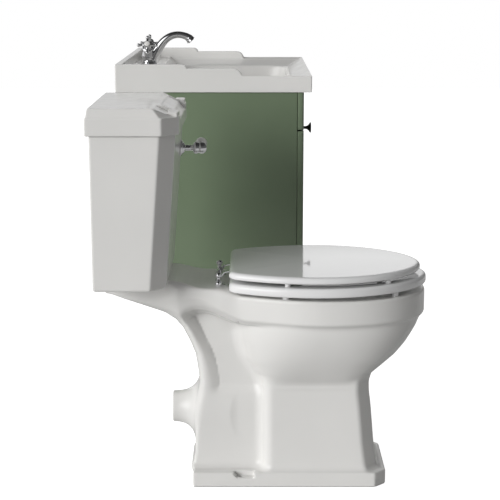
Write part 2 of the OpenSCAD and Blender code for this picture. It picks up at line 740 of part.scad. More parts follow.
fill_head_r = 19;
inlet_tail = 34;
inlet_nut_t = 8;
float_low = inner_floor + 8.3;
module fill_valve() {
    color(plastic) translate([fill_x, -coupling_y, 0]) {
        translate([0, 0, cistern_z - inlet_tail])
            cylinder(d = inlet_d, h = inlet_tail - inlet_nut_t - 1, $fn = 64);
        translate([0, 0, cistern_z - inlet_nut_t - 1.5])
            cylinder(d = inlet_d - 0.6, h = inlet_nut_t + cistern_floor + 2, $fn = 64);
        translate([0, 0, inner_floor]) cylinder(r = 17, h = 8, $fn = 48);
        translate([0, 0, inner_floor + 7]) cylinder(r = pillar_r, h = fill_h - 30, $fn = 64);
        translate([0, 0, inner_floor + fill_h - 24]) cylinder(r1 = 14, r2 = fill_head_r, h = 8, $fn = 48);
        translate([0, 0, inner_floor + fill_h - 16.1]) cylinder(r = fill_head_r, h = 16, $fn = 48);
    }
}
module fill_valve_backnut() {
    color(plastic) translate([fill_x, -coupling_y, cistern_z - inlet_nut_t]) difference() {
        cylinder(r = 17, h = inlet_nut_t, $fn = 6);
        translate([0, 0, -1]) cylinder(r = inlet_d / 2 + 0.05, h = 10, $fn = 64);
    }
}
module fill_valve_float() {
    color(knob_black) translate([fill_x, -coupling_y, float_low]) difference() {
        cylinder(r = 28, h = float_h, $fn = 64);
        translate([0, 0, -1]) cylinder(r = pillar_r + 0.08, h = float_h + 2, $fn = 64);
    }
}

// Seat, lid and hinge

seat_z = rim_top + seat_gap;
toilet_lid_z = seat_z + seat_t + seat_lid_gap;
hinge_z = rim_top + hinge_rise;
pin_r = hinge_pin_d / 2;
seat_mid = 468;
seat_power = 1.85;
function seat_outline(reach, half, back_half) = let (
    last = acos(back_half / half),
    tail = (seat_mid - seat_back) / sin(last),
    front = [for (a = [0 : 7.5 : 90])
        [half * pow(sin(a), 2 / seat_power), -seat_mid - (reach - seat_mid) * pow(cos(a), 2 / seat_power)]],
    side = [for (t = [0.125 : 0.125 : 0.875]) [half * cos(last * t), -seat_mid + tail * sin(last * t)]],
    bend = [[back_half + 2, -seat_back - 9], [back_half - 2, -seat_back - 3], [back_half - 9, -seat_back]],
    right = concat(front, side, bend),
    n = len(right)
) concat(right, [for (i = [n - 1 : -1 : 1]) [-right[i].x, right[i].y]]);
module rounded_plate(outline, z, thick, edge) {
    skin([
        level(inset(outline, edge), z), level(inset(outline, edge * 0.35), z + edge * 0.3),
        level(outline, z + edge), level(outline, z + thick - edge),
        level(inset(outline, edge * 0.35), z + thick - edge * 0.3), level(inset(outline, edge), z + thick)
    ]);
}
module seat() {
    hole = oval(-seat_reach + seat_land + 6, -seat_back - seat_land, seat_w / 2 - seat_land, 2.2);
    color(white_seat) difference() {
        rounded_plate(seat_outline(seat_reach, seat_w / 2, seat_back_w / 2), seat_z, seat_t, 7);
        skin([
            level(inset(hole, -6), seat_z - 1), level(hole, seat_z + 6), level(hole, seat_z + seat_t - 9),
            level(inset(hole, -5), seat_z + seat_t - 2), level(inset(hole, -10), seat_z + seat_t + 1)
        ]);
    }
}
module toilet_lid() {
    color(white_seat) rounded_plate(
        seat_outline(seat_reach - lid_back_set, seat_w / 2, seat_back_w / 2), toilet_lid_z, lid_t, 5);
}
buffer_r = 7;
function buffer_y(share) = -seat_back - (seat_reach - seat_back) * share;
module seat_buffers() {
    color(white_seat) for (spot = [[seat_w * 0.391, 0.279], [seat_w * 0.294, 0.822]])
        pair(2 * spot.x) translate([0, buffer_y(spot.y), rim_top + seat_clear])
            cylinder(r = buffer_r, h = seat_gap - seat_clear, $fn = 32);
}
module lid_buffers() {
    color(white_seat) for (spot = [[seat_w * 0.414, 0.288], [seat_w * 0.323, 0.784]])
        pair(2 * spot.x) translate([0, buffer_y(spot.y), seat_z + seat_t + seat_clear])
            cylinder(r = buffer_r - 1, h = seat_lid_gap - seat_clear, $fn = 32);
}
pillar_w = 12;
knuckle_r = 6.5;
strap_w = 14;
strap_t = 2.5;
stud_r = 4;
seat_knuckle_x = hinge_gap / 2 - pillar_w / 2 - strap_w / 2 - 0.5;
lid_knuckle_x = seat_knuckle_x - strap_w - 0.5;
module x_bar(radius, long) { rotate([0, 90, 0]) cylinder(r = radius, h = long, center = true, $fn = 40); }
module hinge_pillars() {
    color(plated) pair(hinge_gap) translate([0, -hinge_back, 0]) difference() {
        union() {
            translate([0, 0, rim_top]) cylinder(r1 = 13, r2 = 10, h = 5, $fn = 48);
            translate([0, 0, rim_top + 4]) cylinder(r = 5.5, h = hinge_rise - 4, $fn = 40);
            translate([0, 0, hinge_z]) x_bar(knuckle_r + 0.5, pillar_w);
            translate([0, 0, rim_top - hinge_hole_depth + 4])
                cylinder(r = stud_r, h = hinge_hole_depth - 3, $fn = 32);
        }
        translate([0, 0, hinge_z]) x_bar(pin_r + 0.02, pillar_w + 2);
    }
}
module hinge_sleeves() {
    color(seal_black) pair(hinge_gap) translate([0, -hinge_back, rim_top - hinge_hole_depth + 1])
        ring(hinge_hole_r - 0.05, stud_r + 0.05, hinge_hole_depth - 1);
}
module hinge_pin() {
    reach = hinge_gap / 2 + pillar_w / 2;
    color(plated) translate([0, -hinge_back, hinge_z]) {
        x_bar(pin_r, 2 * reach + 8);
        for (side = [-1, 1]) {
            translate([side * (reach + 7), 0, 0]) sphere(r = 6.5, $fn = 40);
            translate([side * (reach + 1.05), 0, 0]) x_bar(5, 2);
        }
    }
}
module strap(at_x, path) {
    translate([at_x, 0, 0]) difference() {
        union() {
            translate([0, -hinge_back, hinge_z]) x_bar(knuckle_r, strap_w);
            side_profile(ribbon(path, strap_t), strap_w);
        }
        translate([0, -hinge_back, hinge_z]) x_bar(pin_r + hinge_fit, strap_w + 2);
    }
}
module seat_straps() {
    low = hinge_z - knuckle_r + strap_t / 2;
    flat = seat_z - strap_t / 2;
    color(plated) for (side = [-1, 1]) strap(side * seat_knuckle_x, [
        [-hinge_back, low], [-hinge_back - 8, low - 0.5], [-hinge_back - 17, flat],
        [-seat_back - 52, flat]
    ]);
}
module lid_straps() {
    high = hinge_z + knuckle_r - strap_t / 2;
    flat = toilet_lid_z - strap_t / 2;
    color(plated) for (side = [-1, 1]) strap(side * lid_knuckle_x, [
        [-hinge_back + 1, high], [-hinge_back - 5, high + 1.5], [-hinge_back - 12, flat - 2],
        [-hinge_back - 19, flat], [-seat_back - 52, flat]
    ]);
}

// Basin

slab_z = basin_top - basin_edge;
bowl_front = basin_d - front_land;
waste_y = (bowl_front + tap_deck) / 2;
waste_flange_r = 30;
overflow_h = 28;
overflow_face = tap_deck + 1.5;
module upstand_side() {
    side_profile([
        [0, slab_z + 1], [0, basin_top + upstand_back],
        for (a = [0 : 15 : 90]) [-step_1 + step_1_run - step_1_run * sin(a),
            basin_top + upstand_mid + (upstand_back - upstand_mid) * cos(a)],
        for (a = [0 : 10 : 90]) [-step_2 + step_2_run - step_2_run * sin(a), basin_top + upstand_mid * cos(a)],
        [-step_2, slab_z + 1]
    ], upstand_t);
}
function bowl_ring(t, grow) = let (taper = 40 * pow(t, 1.5))
    oval(-bowl_front + taper - grow, -tap_deck - taper * 0.6 + grow, basin_bowl_w / 2 - taper + grow, 7);
module basin() {
    floor_z = basin_top - basin_bowl_h;
    color(white_china) difference() {
        union() {
            translate([-basin_w / 2, -basin_d, slab_z]) cube([basin_w, basin_d, basin_edge]);
            for (side = [-1, 1]) translate([side * (basin_w - upstand_t) / 2, 0, 0]) upstand_side();
            translate([-basin_w / 2 + 1, -upstand_t, slab_z + 1])
                cube([basin_w - 2, upstand_t, basin_edge + upstand_back - 1]);
            skin([for (t = [1, 0.85, 0.6, 0.2])
                level(bowl_ring(t, basin_wall * (t == 1 ? 0.4 : 1)), basin_top - (basin_bowl_h + basin_wall) * t)]);
        }
        skin([
            level(bowl_ring(1, -12), floor_z), level(bowl_ring(1, 0), floor_z + 12),
            level(bowl_ring(0.6, 0), basin_top - basin_bowl_h * 0.6),
            level(bowl_ring(0.1, 0), basin_top - 8), level(bowl_ring(0, 3), basin_top + 1)
        ]);
        translate([0, -tap_back, slab_z - 1]) cylinder(r = shank_d / 2 + 1.5, h = basin_edge + 2, $fn = 48);
        translate([0, -waste_y, floor_z - basin_wall - 1]) cylinder(r = waste_r + 5, h = 60, $fn = 48);
        translate([0, -waste_y, floor_z - 3]) cylinder(r = waste_flange_r + 0.5, h = 60, $fn = 48);
        translate([0, -overflow_face, basin_top - overflow_h]) along_y() {
            cylinder(r = 14.5, h = 12, $fn = 48);
            translate([0, 0, -12]) cylinder(r = 10, h = 20, $fn = 40);
        }
    }
}
module overflow_ring() {
    color(plated) translate([0, -overflow_face, basin_top - overflow_h]) along_y() difference() {
        union() {
            rotate_extrude($fn = 48) polygon([[0, 0], [14, 0], [14, 2], [12, 4], [0, 4]]);
            translate([0, 0, -10]) cylinder(r = 9.95, h = 11, $fn = 48);
        }
        translate([0, 0, -11]) cylinder(r = 7, h = 20, $fn = 40);
    }
}

// Waste and bottle trap

waste_top = basin_top - basin_bowl_h - 3;
waste_foot = waste_top - 58;
plug_r = 24;
plug_pin_r = 5;
plug_fit = 0.05;
module waste_body() {
    color(plated) translate([0, -waste_y, 0]) difference() {
        union() {
            translate([0, 0, waste_top]) cylinder(r1 = waste_flange_r, r2 = waste_flange_r - 2, h = 3, $fn = 64);
            translate([0, 0, waste_foot]) cylinder(r = waste_r + 4, h = waste_top - waste_foot + 1, $fn = 64);
        }
        translate([0, 0, waste_foot - 1]) cylinder(r = waste_r, h = waste_top - waste_foot - 8, $fn = 64);
        translate([0, 0, waste_top - 12]) cylinder(r = plug_pin_r + plug_fit, h = 20, $fn = 48);
        for (a = [45 : 90 : 315]) rotate([0, 0, a]) translate([waste_r - 4.5, 0, waste_top - 12])
            cylinder(r = 3.5, h = 20, $fn = 24);
        translate([0, 0, waste_top + 1]) cylinder(r = plug_r + 1, h = 10, $fn = 64);
    }
}
module waste_plug() {
    color(plated) translate([0, -waste_y, waste_top + 1.3]) {
        rotate_extrude($fn = 64) polygon([
            [0, 0], [plug_r - 2, 0], [plug_r, 2], [plug_r, 4.5], [plug_r - 4, 6.5], [0, 7.5]
        ]);
        translate([0, 0, -24]) cylinder(r = plug_pin_r, h = 25, $fn = 48);
    }
}
module waste_nut() {
    under = basin_top - basin_bowl_h - basin_wall;
    color(plated) translate([0, -waste_y, under - 16]) difference() {
        union() {
            cylinder(r = waste_r + 14, h = 9, $fn = 8);
            translate([0, 0, 8.5]) cylinder(r = waste_r + 11, h = 7.5, $fn = 64);
        }
        translate([0, 0, -1]) cylinder(r = waste_r + 4.05, h = 20, $fn = 64);
    }
}
trap_top = waste_foot + 14;
trap_foot = trap_top - trap_h;
cup_h = 40;
branch_reach = 18;
pipe_z = trap_top - 34;
module trap_body() {
    color(plated) translate([0, -waste_y, 0]) difference() {
        union() {
            translate([0, 0, trap_top - 20]) cylinder(r = waste_r + 10, h = 20, $fn = 64);
            translate([0, 0, trap_foot + 30]) cylinder(r = trap_cup_r - 5, h = trap_h - 48, $fn = 64);
            translate([0, 0, trap_foot + cup_h]) cylinder(r = trap_cup_r - 1, h = 6, $fn = 64);
            translate([0, 0, pipe_z]) rotate([-90, 0, 0]) cylinder(r = waste_pipe_r + 5, h = trap_cup_r + branch_reach, $fn = 64);
        }
        translate([0, 0, trap_top - 15]) cylinder(r = waste_r + 4.05, h = 16, $fn = 64);
        difference() {
            translate([0, 0, trap_foot + 29]) cylinder(r = trap_cup_r - 8, h = pipe_z - trap_foot - 16, $fn = 64);
            cylinder(r = waste_r - 1, h = 900, $fn = 64);
        }
        translate([0, 0, trap_foot]) cylinder(r = waste_r - 4, h = trap_h, $fn = 64);
        translate([0, trap_cup_r + 2, pipe_z]) rotate([-90, 0, 0])
            cylinder(r = waste_pipe_r + 0.05, h = 30, $fn = 64);
        translate([0, waste_r, pipe_z]) rotate([-90, 0, 0]) cylinder(r = waste_pipe_r - 4, h = 60, $fn = 48);
    }
}
module trap_cup() {
    color(plated) translate([0, -waste_y, trap_foot]) difference() {
        rotate_extrude($fn = 64) polygon([
            [0, 0], [8, 0], [trap_cup_r - 8, 4], [trap_cup_r, 14], [trap_cup_r, cup_h], [0, cup_h]
        ]);
        translate([0, 0, 8]) cylinder(r = trap_cup_r - 4.9, h = cup_h, $fn = 64);
    }
}
module trap_outlet_pipe() {
    start = waste_y - trap_cup_r - 2.2;
    free = waste_y - trap_cup_r - branch_reach - 1;
    color(plated) translate([0, 0, pipe_z]) difference() {
        union() {
            translate([0, -free, 0]) rotate([-90, 0, 0]) cylinder(r = waste_pipe_r, h = free, $fn = 64);
            translate([0, -start, 0]) rotate([-90, 0, 0])
                cylinder(r = waste_pipe_r - 0.2, h = start - free + 1, $fn = 64);
        }
        translate([0, -start - 1, 0]) rotate([-90, 0, 0]) cylinder(r = waste_pipe_r - 2, h = start + 2, $fn = 64);
    }
}

// Tap

axis_z = tap_body_h - 23;
cross_at = handle_out / cos(handle_tilt);
tap_spindle_r = 5;
tap_fit = 0.05;
module tap_arm(side) {
    translate([0, -tap_back, basin_top + axis_z]) rotate([0, side * (90 - handle_tilt), 0]) children();
}
module tap_core(grow) {
    r = tap_foot_d / 2 + grow;
    translate([0, -tap_back, basin_top]) rotate_extrude($fn = 64) polygon([
        [0, 0], [r, 0], [r, 3], [r - 2, 6], [r - 5, 9], [r - 6, 14], [r - 4.5, axis_z],
        [r - 6, axis_z + 13], [r - 12, tap_body_h - 1], [0, tap_body_h + 2 + grow]
    ]);
}
inlet_bore_r = 5;
inlet_bore_x = 8;
module tap_body() {
    color(plated) difference() {
        union() {
            tap_core(0);
            translate([0, -tap_back, slab_z - 34]) cylinder(d = shank_d, h = basin_edge + 35, $fn = 64);
            for (side = [-1, 1]) tap_arm(side) {
                cylinder(r1 = 14, r2 = 12, h = cross_at - 16, $fn = 48);
                translate([0, 0, cross_at - 16.1]) cylinder(r1 = 14.5, r2 = 11, h = 7.8, $fn = 48);
                cylinder(r = tap_spindle_r, h = cross_at + 2, $fn = 48);
            }
        }
        pair(2 * inlet_bore_x) translate([0, -tap_back, slab_z - 35]) cylinder(r = inlet_bore_r, h = 15, $fn = 48);
    }
}
module tap_nut() {
    color(brass) translate([0, -tap_back, slab_z - 12]) difference() {
        cylinder(r = shank_d / 2 + 8, h = 12, $fn = 6);
        translate([0, 0, -1]) cylinder(r = shank_d / 2 + 0.05, h = 14, $fn = 64);
    }
}
// Middle line of the spout as distance forwards and height
function spout_path() = let (top = spout_h - spout_d / 2, tip = spout_reach) [
    [-10, 16], [-0.17 * tip, top * 0.42], [-0.27 * tip, top * 0.65], [-0.39 * tip, top * 0.84],
    [-0.53 * tip, top * 0.96], [-0.68 * tip, top], [-0.82 * tip, top * 0.97], [-0.92 * tip, top * 0.905],
    [-0.985 * tip, top * 0.81]
];
function spout_width(t) = spout_d * (1 + 1.15 * pow(1 - t, 3.2) + 0.5 * pow(t, 6));
module tap_spout() {
    path = spout_path();
    n = len(path);
    sides = 28;
    color(plated) difference() {
        translate([0, -tap_back, basin_top]) skin([for (i = [0 : n - 1])
            let (d = unit(path[min(i + 1, n - 1)] - path[max(i - 1, 0)]), r = spout_width(i / (n - 1)) / 2)
            [for (k = [0 : sides - 1]) let (a = -360 * k / sides)
                [r * cos(a), path[i].x - r * sin(a) * d.y, path[i].y + r * sin(a) * d.x]]
        ]);
        tap_core(0.05);
        for (side = [-1, 1]) tap_arm(side) cylinder(r = 14.6, h = cross_at - 8, $fn = 48);
        at_spout_tip() translate([0, 0, -7]) cylinder(r = spout_d / 2 + 0.55, h = 12, $fn = 48);
    }
}
module at_spout_tip() {
    path = spout_path();
    n = len(path);
    d = unit(path[n - 1] - path[n - 2]);
    translate([0, path[n - 1].x - tap_back, path[n - 1].y + basin_top]) rotate([acos(d.y), 0, 0]) children();
}
module tap_aerator() {
    color(plated) at_spout_tip() translate([0, 0, -7]) difference() {
        cylinder(r = spout_d / 2 + 0.5, h = 9, $fn = 48);
        translate([0, 0, 6]) cylinder(r = spout_d / 2 - 1.5, h = 5, $fn = 48);
    }
}
module cross_handle(side) {
    tip_r = 4.5;
    reach = handle_span / 2 - tip_r;
    color(plated) tap_arm(side) translate([0, 0, cross_at]) difference() {
        union() {
            translate([0, 0, -8]) rotate_extrude($fn = 48) polygon([
                [0, 0], [9, 0], [9.5, 3], [8, 6], [8, 11], [9.5, 13], [9.5, 16], [0, 16]
            ]);
            for (a = [0 : 90 : 270]) rotate([0, 0, a]) {
                rotate([0, 90, 0]) cylinder(r1 = 4.2, r2 = 3, h = reach, $fn = 24);
                translate([reach, 0, 0]) sphere(r = tip_r, $fn = 24);
            }
        }
        translate([0, 0, -9]) cylinder(r = tap_spindle_r + tap_fit, h = 11.3, $fn = 48);
        translate([0, 0, 6]) cylinder(r = index_r + 0.05, h = 5, $fn = 48);
    }
}
index_r = 7.5;
module index_disc(side) {
    color(white_china) tap_arm(side) translate([0, 0, cross_at + 6.05]) rotate_extrude($fn = 48)
        polygon([[0, 0], [index_r, 0], [index_r, 2], [index_r - 2, 3.2], [0, 3.8]]);
}
module hot_handle() { cross_handle(-1); }
module cold_handle() { cross_handle(1); }
module hot_index() { index_disc(-1); }
module cold_index() { index_disc(1); }

// Cabinet

half_cab = basin_w / 2 - cabinet_inset;
half_in = half_cab - board_t;
cab_z = slab_z - cabinet_h;
carcass_front = cabinet_front - front_t;
rail_z = slab_z - fascia_h + 4;
module board(a, b) { translate(a) cube(b - a); }
module cabinet_left_side() {
    color(green_paint) board([-half_cab, -carcass_front, cab_z], [-half_in, 0, slab_z]);
}
module cabinet_right_side() {
    color(green_paint) board([half_in, -carcass_front, cab_z], [half_cab, 0, slab_z]);
}
module cabinet_bottom() {
    color(carcass) board([-half_in, -carcass_front + 2, cab_z], [half_in, 0, cab_z + board_t]);
}
cabinet_hole_h = slab_z - 45;
cabinet_hole_gap = 560;
module cabinet_back_rail() {
    color(carcass) difference() {
        board([-half_in, -board_t, slab_z - fascia_h + 2], [half_in, 0, slab_z]);
        pair(cabinet_hole_gap) translate([0, 1, cabinet_hole_h]) along_y() cylinder(r = 4, h = board_t + 2, $fn = 32);
    }
}
module cabinet_front_rail() {
    color(carcass) board([-half_in, -carcass_front, rail_z], [half_in, -carcass_front + 14, rail_z + 40]);
}
module hanging_brackets() {
    color(steel) for (side = [-1, 1]) difference() {
        union() {
            translate([side * (half_in - 1.25), -board_t - 35, slab_z - 32]) cube([2.5, 70, 44], center = true);
            translate([side * (half_in - 9), -board_t - 1.25, slab_z - 32]) cube([18, 2.5, 44], center = true);
        }
        translate([side * (half_in - 5), -board_t - 45, slab_z - 32]) rotate([0, 90, 0])
            cylinder(r = 2.5, h = 20, center = true, $fn = 24);
    }
}
module fascia() {
    color(green_paint) board([-half_cab, -cabinet_front, slab_z - fascia_h], [half_cab, -carcass_front, slab_z]);
}

// Drawer

front_back_y = carcass_front + 1;
front_top = slab_z - fascia_h - front_gap;
knob_z = front_top - 30;
drawer_x = half_in - runner_w;
drawer_z = cab_z + board_t + 15;
drawer_back_y = front_back_y - drawer_d;
panel_lap = 8;
module drawer_front_frame() {
    win_x = half_cab - frame_w;
    color(green_paint) difference() {
        board([-half_cab, -cabinet_front, cab_z], [half_cab, -front_back_y, front_top]);
        board([-win_x, -cabinet_front - 1, cab_z + frame_w], [win_x, 0, front_top - frame_w]);
        board([-win_x - panel_lap, -cabinet_front + panel_sink, cab_z + frame_w - panel_lap],
            [win_x + panel_lap, 0, front_top - frame_w + panel_lap]);
        translate([0, 0, knob_z]) along_y() cylinder(r = 2.5, h = cabinet_front + 1, $fn = 32);
    }
}
module drawer_front_panel() {
    win_x = half_cab - frame_w + panel_lap - 0.05;
    lap = panel_lap - 0.05;
    color(green_paint) board([-win_x, -cabinet_front + panel_sink, cab_z + frame_w - lap],
        [win_x, -front_back_y, front_top - frame_w + lap]);
}
module drawer_sides() {
    color(carcass) for (side = [-1, 1]) translate([side * (drawer_x - drawer_t / 2), 0, 0])
        board([-drawer_t / 2, -front_back_y, drawer_z], [drawer_t / 2, -drawer_back_y, drawer_z + drawer_h]);
}
module drawer_back() {
    x = drawer_x - drawer_t;
    color(carcass) board([-x, -drawer_back_y - drawer_t, drawer_z], [x, -drawer_back_y, drawer_z + drawer_h - 10]);
}
module drawer_base() {
    x = drawer_x - drawer_t;
    color(carcass) board([-x, -front_back_y, drawer_z + 8], [x, -drawer_back_y - drawer_t, drawer_z + 16]);
}
runner_z = drawer_z + 50;
runner_gap = 0.4;
module runner_at(side) { translate([side * half_in, 0, runner_z]) mirror([side < 0 ? 1 : 0, 0, 0]) children(); }
module fixed_runners() {
    back = drawer_back_y + 5;
    color(steel) for (side = [-1, 1]) runner_at(side) difference() {
        board([-8, -front_back_y + 12, -22], [0, -back, 22]);
        board([-9, -front_back_y, -16], [-3, 0, 16]);
    }
}
module moving_runners() {
    back = drawer_back_y + 5;
    color(steel) for (side = [-1, 1]) runner_at(side) {
        board([-runner_w, -front_back_y + 6, -14], [-8 - runner_gap, -back, 14]);
        board([-8 - runner_gap - 0.1, -front_back_y + 12.5, -16 + runner_gap],
            [-3 - runner_gap, -back, 16 - runner_gap]);
    }
}
module drawer_knob() {
    r = knob_d / 2;
    color(knob_black) translate([0, -cabinet_front, knob_z]) along_y() difference() {
        rotate_extrude($fn = 64) polygon([
            [0, 0], [8.5, 0], [8.5, 2], [5, 5], [3.8, 10], [3.8, knob_reach - 14], [6, knob_reach - 9],
            [r - 1, knob_reach - 4], [r, knob_reach - 2.5], [r - 1, knob_reach - 1], [r - 4, knob_reach], [0, knob_reach]
        ]);
        translate([0, 0, -1]) cylinder(r = 2.02, h = 13, $fn = 32);
    }
}
module knob_screw() {
    color(steel) translate([0, -front_back_y + 3, knob_z]) along_y() {
        cylinder(r = 5, h = 3, $fn = 32);
        translate([0, 0, 2]) cylinder(r = 2, h = cabinet_front - front_back_y + 12, $fn = 32);
    }
}

at_toilet() pan();
at_toilet() coupling_seal();
at_toilet() coupling_bolts();
at_toilet() coupling_washers();
at_toilet() coupling_wing_nuts();
at_toilet() cistern();
at_toilet() cistern_lid();
at_toilet() siphon_body();
at_toilet() siphon_nut();
at_toilet() siphon_lift_rod();
at_toilet() lever_rose();
at_toilet() lever_backnut();
at_toilet() flush_lever();
at_toilet() lever_ceramic_handle();
at_toilet() inner_lever_arm();
at_toilet() fill_valve();
at_toilet() fill_valve_backnut();
at_toilet() fill_valve_float();
at_toilet() hinge_pillars();
at_toilet() hinge_sleeves();
at_toilet() hinge_pin();
at_toilet() seat();
at_toilet() seat_straps();
at_toilet() seat_buffers();
at_toilet() toilet_lid();
at_toilet() lid_straps();
at_toilet() lid_buffers();
at_vanity() basin();
at_vanity() overflow_ring();
at_vanity() waste_body();
at_vanity() waste_nut();
at_vanity() waste_plug();
at_vanity() trap_body();
at_vanity() trap_cup();
at_vanity() trap_outlet_pipe();
at_vanity() tap_body();
at_vanity() tap_spout();
at_vanity() tap_aerator();
at_vanity() tap_nut();
at_vanity() hot_handle();
at_vanity() cold_handle();
at_vanity() hot_index();
at_vanity() cold_index();
at_vanity() cabinet_left_side();
at_vanity() cabinet_right_side();
at_vanity() cabinet_bottom();
at_vanity() cabinet_back_rail();
at_vanity() cabinet_front_rail();
at_vanity() hanging_brackets();
at_vanity() fascia();
at_vanity() drawer_front_frame();
at_vanity() drawer_front_panel();
at_vanity() drawer_sides();
at_vanity() drawer_back();
at_vanity() drawer_base();
at_vanity() fixed_runners();
at_vanity() moving_runners();
at_vanity() drawer_knob();
at_vanity() knob_screw();
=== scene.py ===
"""Looks of the combined vanity and toilet unit, built round the solids of the frame.

Shapes are written in millimetres about the toilet's or the basin's centre line, as x to the right,
u away from the wall and z up, and go to metres in the part's frame when a piece is made.
"""
import json
import math

import bmesh
import bpy
import numpy as np
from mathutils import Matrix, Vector


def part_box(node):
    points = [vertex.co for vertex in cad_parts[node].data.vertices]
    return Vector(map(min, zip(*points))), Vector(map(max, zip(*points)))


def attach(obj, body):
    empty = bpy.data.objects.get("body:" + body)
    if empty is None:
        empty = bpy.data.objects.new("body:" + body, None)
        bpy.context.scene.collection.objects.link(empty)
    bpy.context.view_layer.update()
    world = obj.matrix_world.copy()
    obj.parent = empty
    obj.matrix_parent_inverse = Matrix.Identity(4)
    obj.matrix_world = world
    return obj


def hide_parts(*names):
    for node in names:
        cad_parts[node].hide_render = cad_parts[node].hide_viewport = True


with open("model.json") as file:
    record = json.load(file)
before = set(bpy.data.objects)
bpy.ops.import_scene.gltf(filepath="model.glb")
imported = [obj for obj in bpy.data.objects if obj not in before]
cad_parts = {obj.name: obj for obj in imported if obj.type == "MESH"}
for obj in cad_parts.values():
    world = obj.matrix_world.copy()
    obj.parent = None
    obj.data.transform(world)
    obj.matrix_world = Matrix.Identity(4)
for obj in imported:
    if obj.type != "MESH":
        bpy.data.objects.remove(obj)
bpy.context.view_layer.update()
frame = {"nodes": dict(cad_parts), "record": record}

lid_low, lid_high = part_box("cistern_lid")
basin_low, basin_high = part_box("basin")
TOILET_X = (lid_low.x + lid_high.x) * 500
VANITY_X = (basin_low.x + basin_high.x) * 500
WALL_Y = basin_high.y * 1000


# Geometry helpers

def to_part(points, side):
    """Local x, u, z in millimetres to the part's frame in metres."""
    p = np.asarray(points, float).reshape(-1, 3)
    offset = TOILET_X if side == "toilet" else VANITY_X
    return np.stack([offset + p[:, 0], WALL_Y - p[:, 1], p[:, 2]], 1) / 1000.0


def make(name, points, faces, side, material, body, replaces=(), sharp=None, normals=None):
    """One piece from local points, which rides on a body and wears the given material."""
    mesh = bpy.data.meshes.new(name)
    # u runs against Y, so the order of each face's corners turns round
    mesh.from_pydata(to_part(points, side).tolist(), [], [tuple(f)[::-1] for f in faces])
    mesh.validate()
    mesh.polygons.foreach_set("use_smooth", [True] * len(mesh.polygons))
    if sharp is not None:
        mesh.set_sharp_from_angle(angle=math.radians(sharp))
    if normals is not None:
        n = np.asarray(normals, float) * [1, -1, 1]
        mesh.normals_split_custom_set_from_vertices(n.tolist())
    mesh.update()
    piece = bpy.data.objects.new(name, mesh)
    bpy.context.scene.collection.objects.link(piece)
    mesh.materials.append(material)
    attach(piece, body)
    if replaces:
        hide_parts(*replaces)
    return piece


class Shape:
    """Points and faces gathered from several forms into one piece."""

    def __init__(self):
        self.points, self.faces = [], []

    def add(self, points, faces):
        n = len(self.points)
        self.points += [tuple(map(float, p)) for p in points]
        self.faces += [tuple(i + n for i in f) for f in faces]
        return self

    def make(self, name, side, material, body, slot, replaces, sharp):
        """The gathered forms as one piece."""
        return make(name, self.points, self.faces, side, material, body, replaces, sharp)


def loft(rings, cap_start=True, cap_end=True, loop=False):
    """Quads through rings of as many points each, with fans over the ends."""
    rings = [np.asarray(r, float) for r in rings]
    n, m = len(rings[0]), len(rings)
    points = np.concatenate(rings)
    faces = []
    for j in range(m if loop else m - 1):
        a, b = j * n, ((j + 1) % m) * n
        for i in range(n):
            k = (i + 1) % n
            faces.append((a + i, a + k, b + k, b + i))
    points = list(points)
    if cap_start and not loop:
        points.append(rings[0].mean(0))
        c = len(points) - 1
        faces += [(c, (i + 1) % n, i) for i in range(n)]
    if cap_end and not loop:
        points.append(rings[-1].mean(0))
        c = len(points) - 1
        base = (m - 1) * n
        faces += [(c, base + i, base + (i + 1) % n) for i in range(n)]
    return points, faces


def spline(points, count):
    """Smooth curve through the points, as a cubic between each two that looks at both neighbours."""
    p = np.asarray(points, float)
    p = np.vstack([2 * p[0] - p[1], p, 2 * p[-1] - p[-2]])
    out = []
    for s in np.linspace(0, len(p) - 3, count):
        i = min(int(s), len(p) - 4)
        t = s - i
        a, b, c, d = p[i:i + 4]
        out.append(0.5 * (2 * b + (c - a) * t + (2 * a - 5 * b + 4 * c - d) * t * t
                          + (3 * b - a - 3 * c + d) * t ** 3))
    return np.array(out)


def basis(axis):
    """Two directions square to an axis."""
    w = np.asarray(axis, float)
    w = w / np.linalg.norm(w)
    ref = np.array([0, 0, 1.0]) if abs(w[2]) < 0.9 else np.array([1.0, 0, 0])
    a = np.cross(ref, w)
    a = a / np.linalg.norm(a)
    return a, np.cross(w, a), w


def lathe(profile, origin, axis, sides=48, squash=(1, 1)):
    """Turned form. Profile is radius and height along the axis, from one end to the other."""
    a, b, w = basis(axis)
    angles = np.linspace(0, 2 * math.pi, sides, endpoint=False)
    rings = []
    for r, h in profile:
        r = max(r, 0.02)
        rings.append(np.asarray(origin) + h * w + r * (np.outer(np.cos(angles) * squash[0], a)
                                                       + np.outer(np.sin(angles) * squash[1], b)))
    return loft(rings)


def tube(path, radii, sides=32, flat=1.0, up=(1, 0, 0)):
    """Round tube along a path, flat times as wide along the direction up as across it."""
    path = np.asarray(path, float)
    up = np.asarray(up, float)
    tangents = np.gradient(path, axis=0)
    angles = np.linspace(0, 2 * math.pi, sides, endpoint=False)
    rings = []
    for p, t, r in zip(path, tangents, radii):
        t = t / np.linalg.norm(t)
        b = up - t * (up @ t)
        b = b / np.linalg.norm(b)
        a = np.cross(b, t)
        rings.append(p + r * (np.outer(np.cos(angles), a) + np.outer(np.sin(angles) * flat, b)))
    return loft(rings)


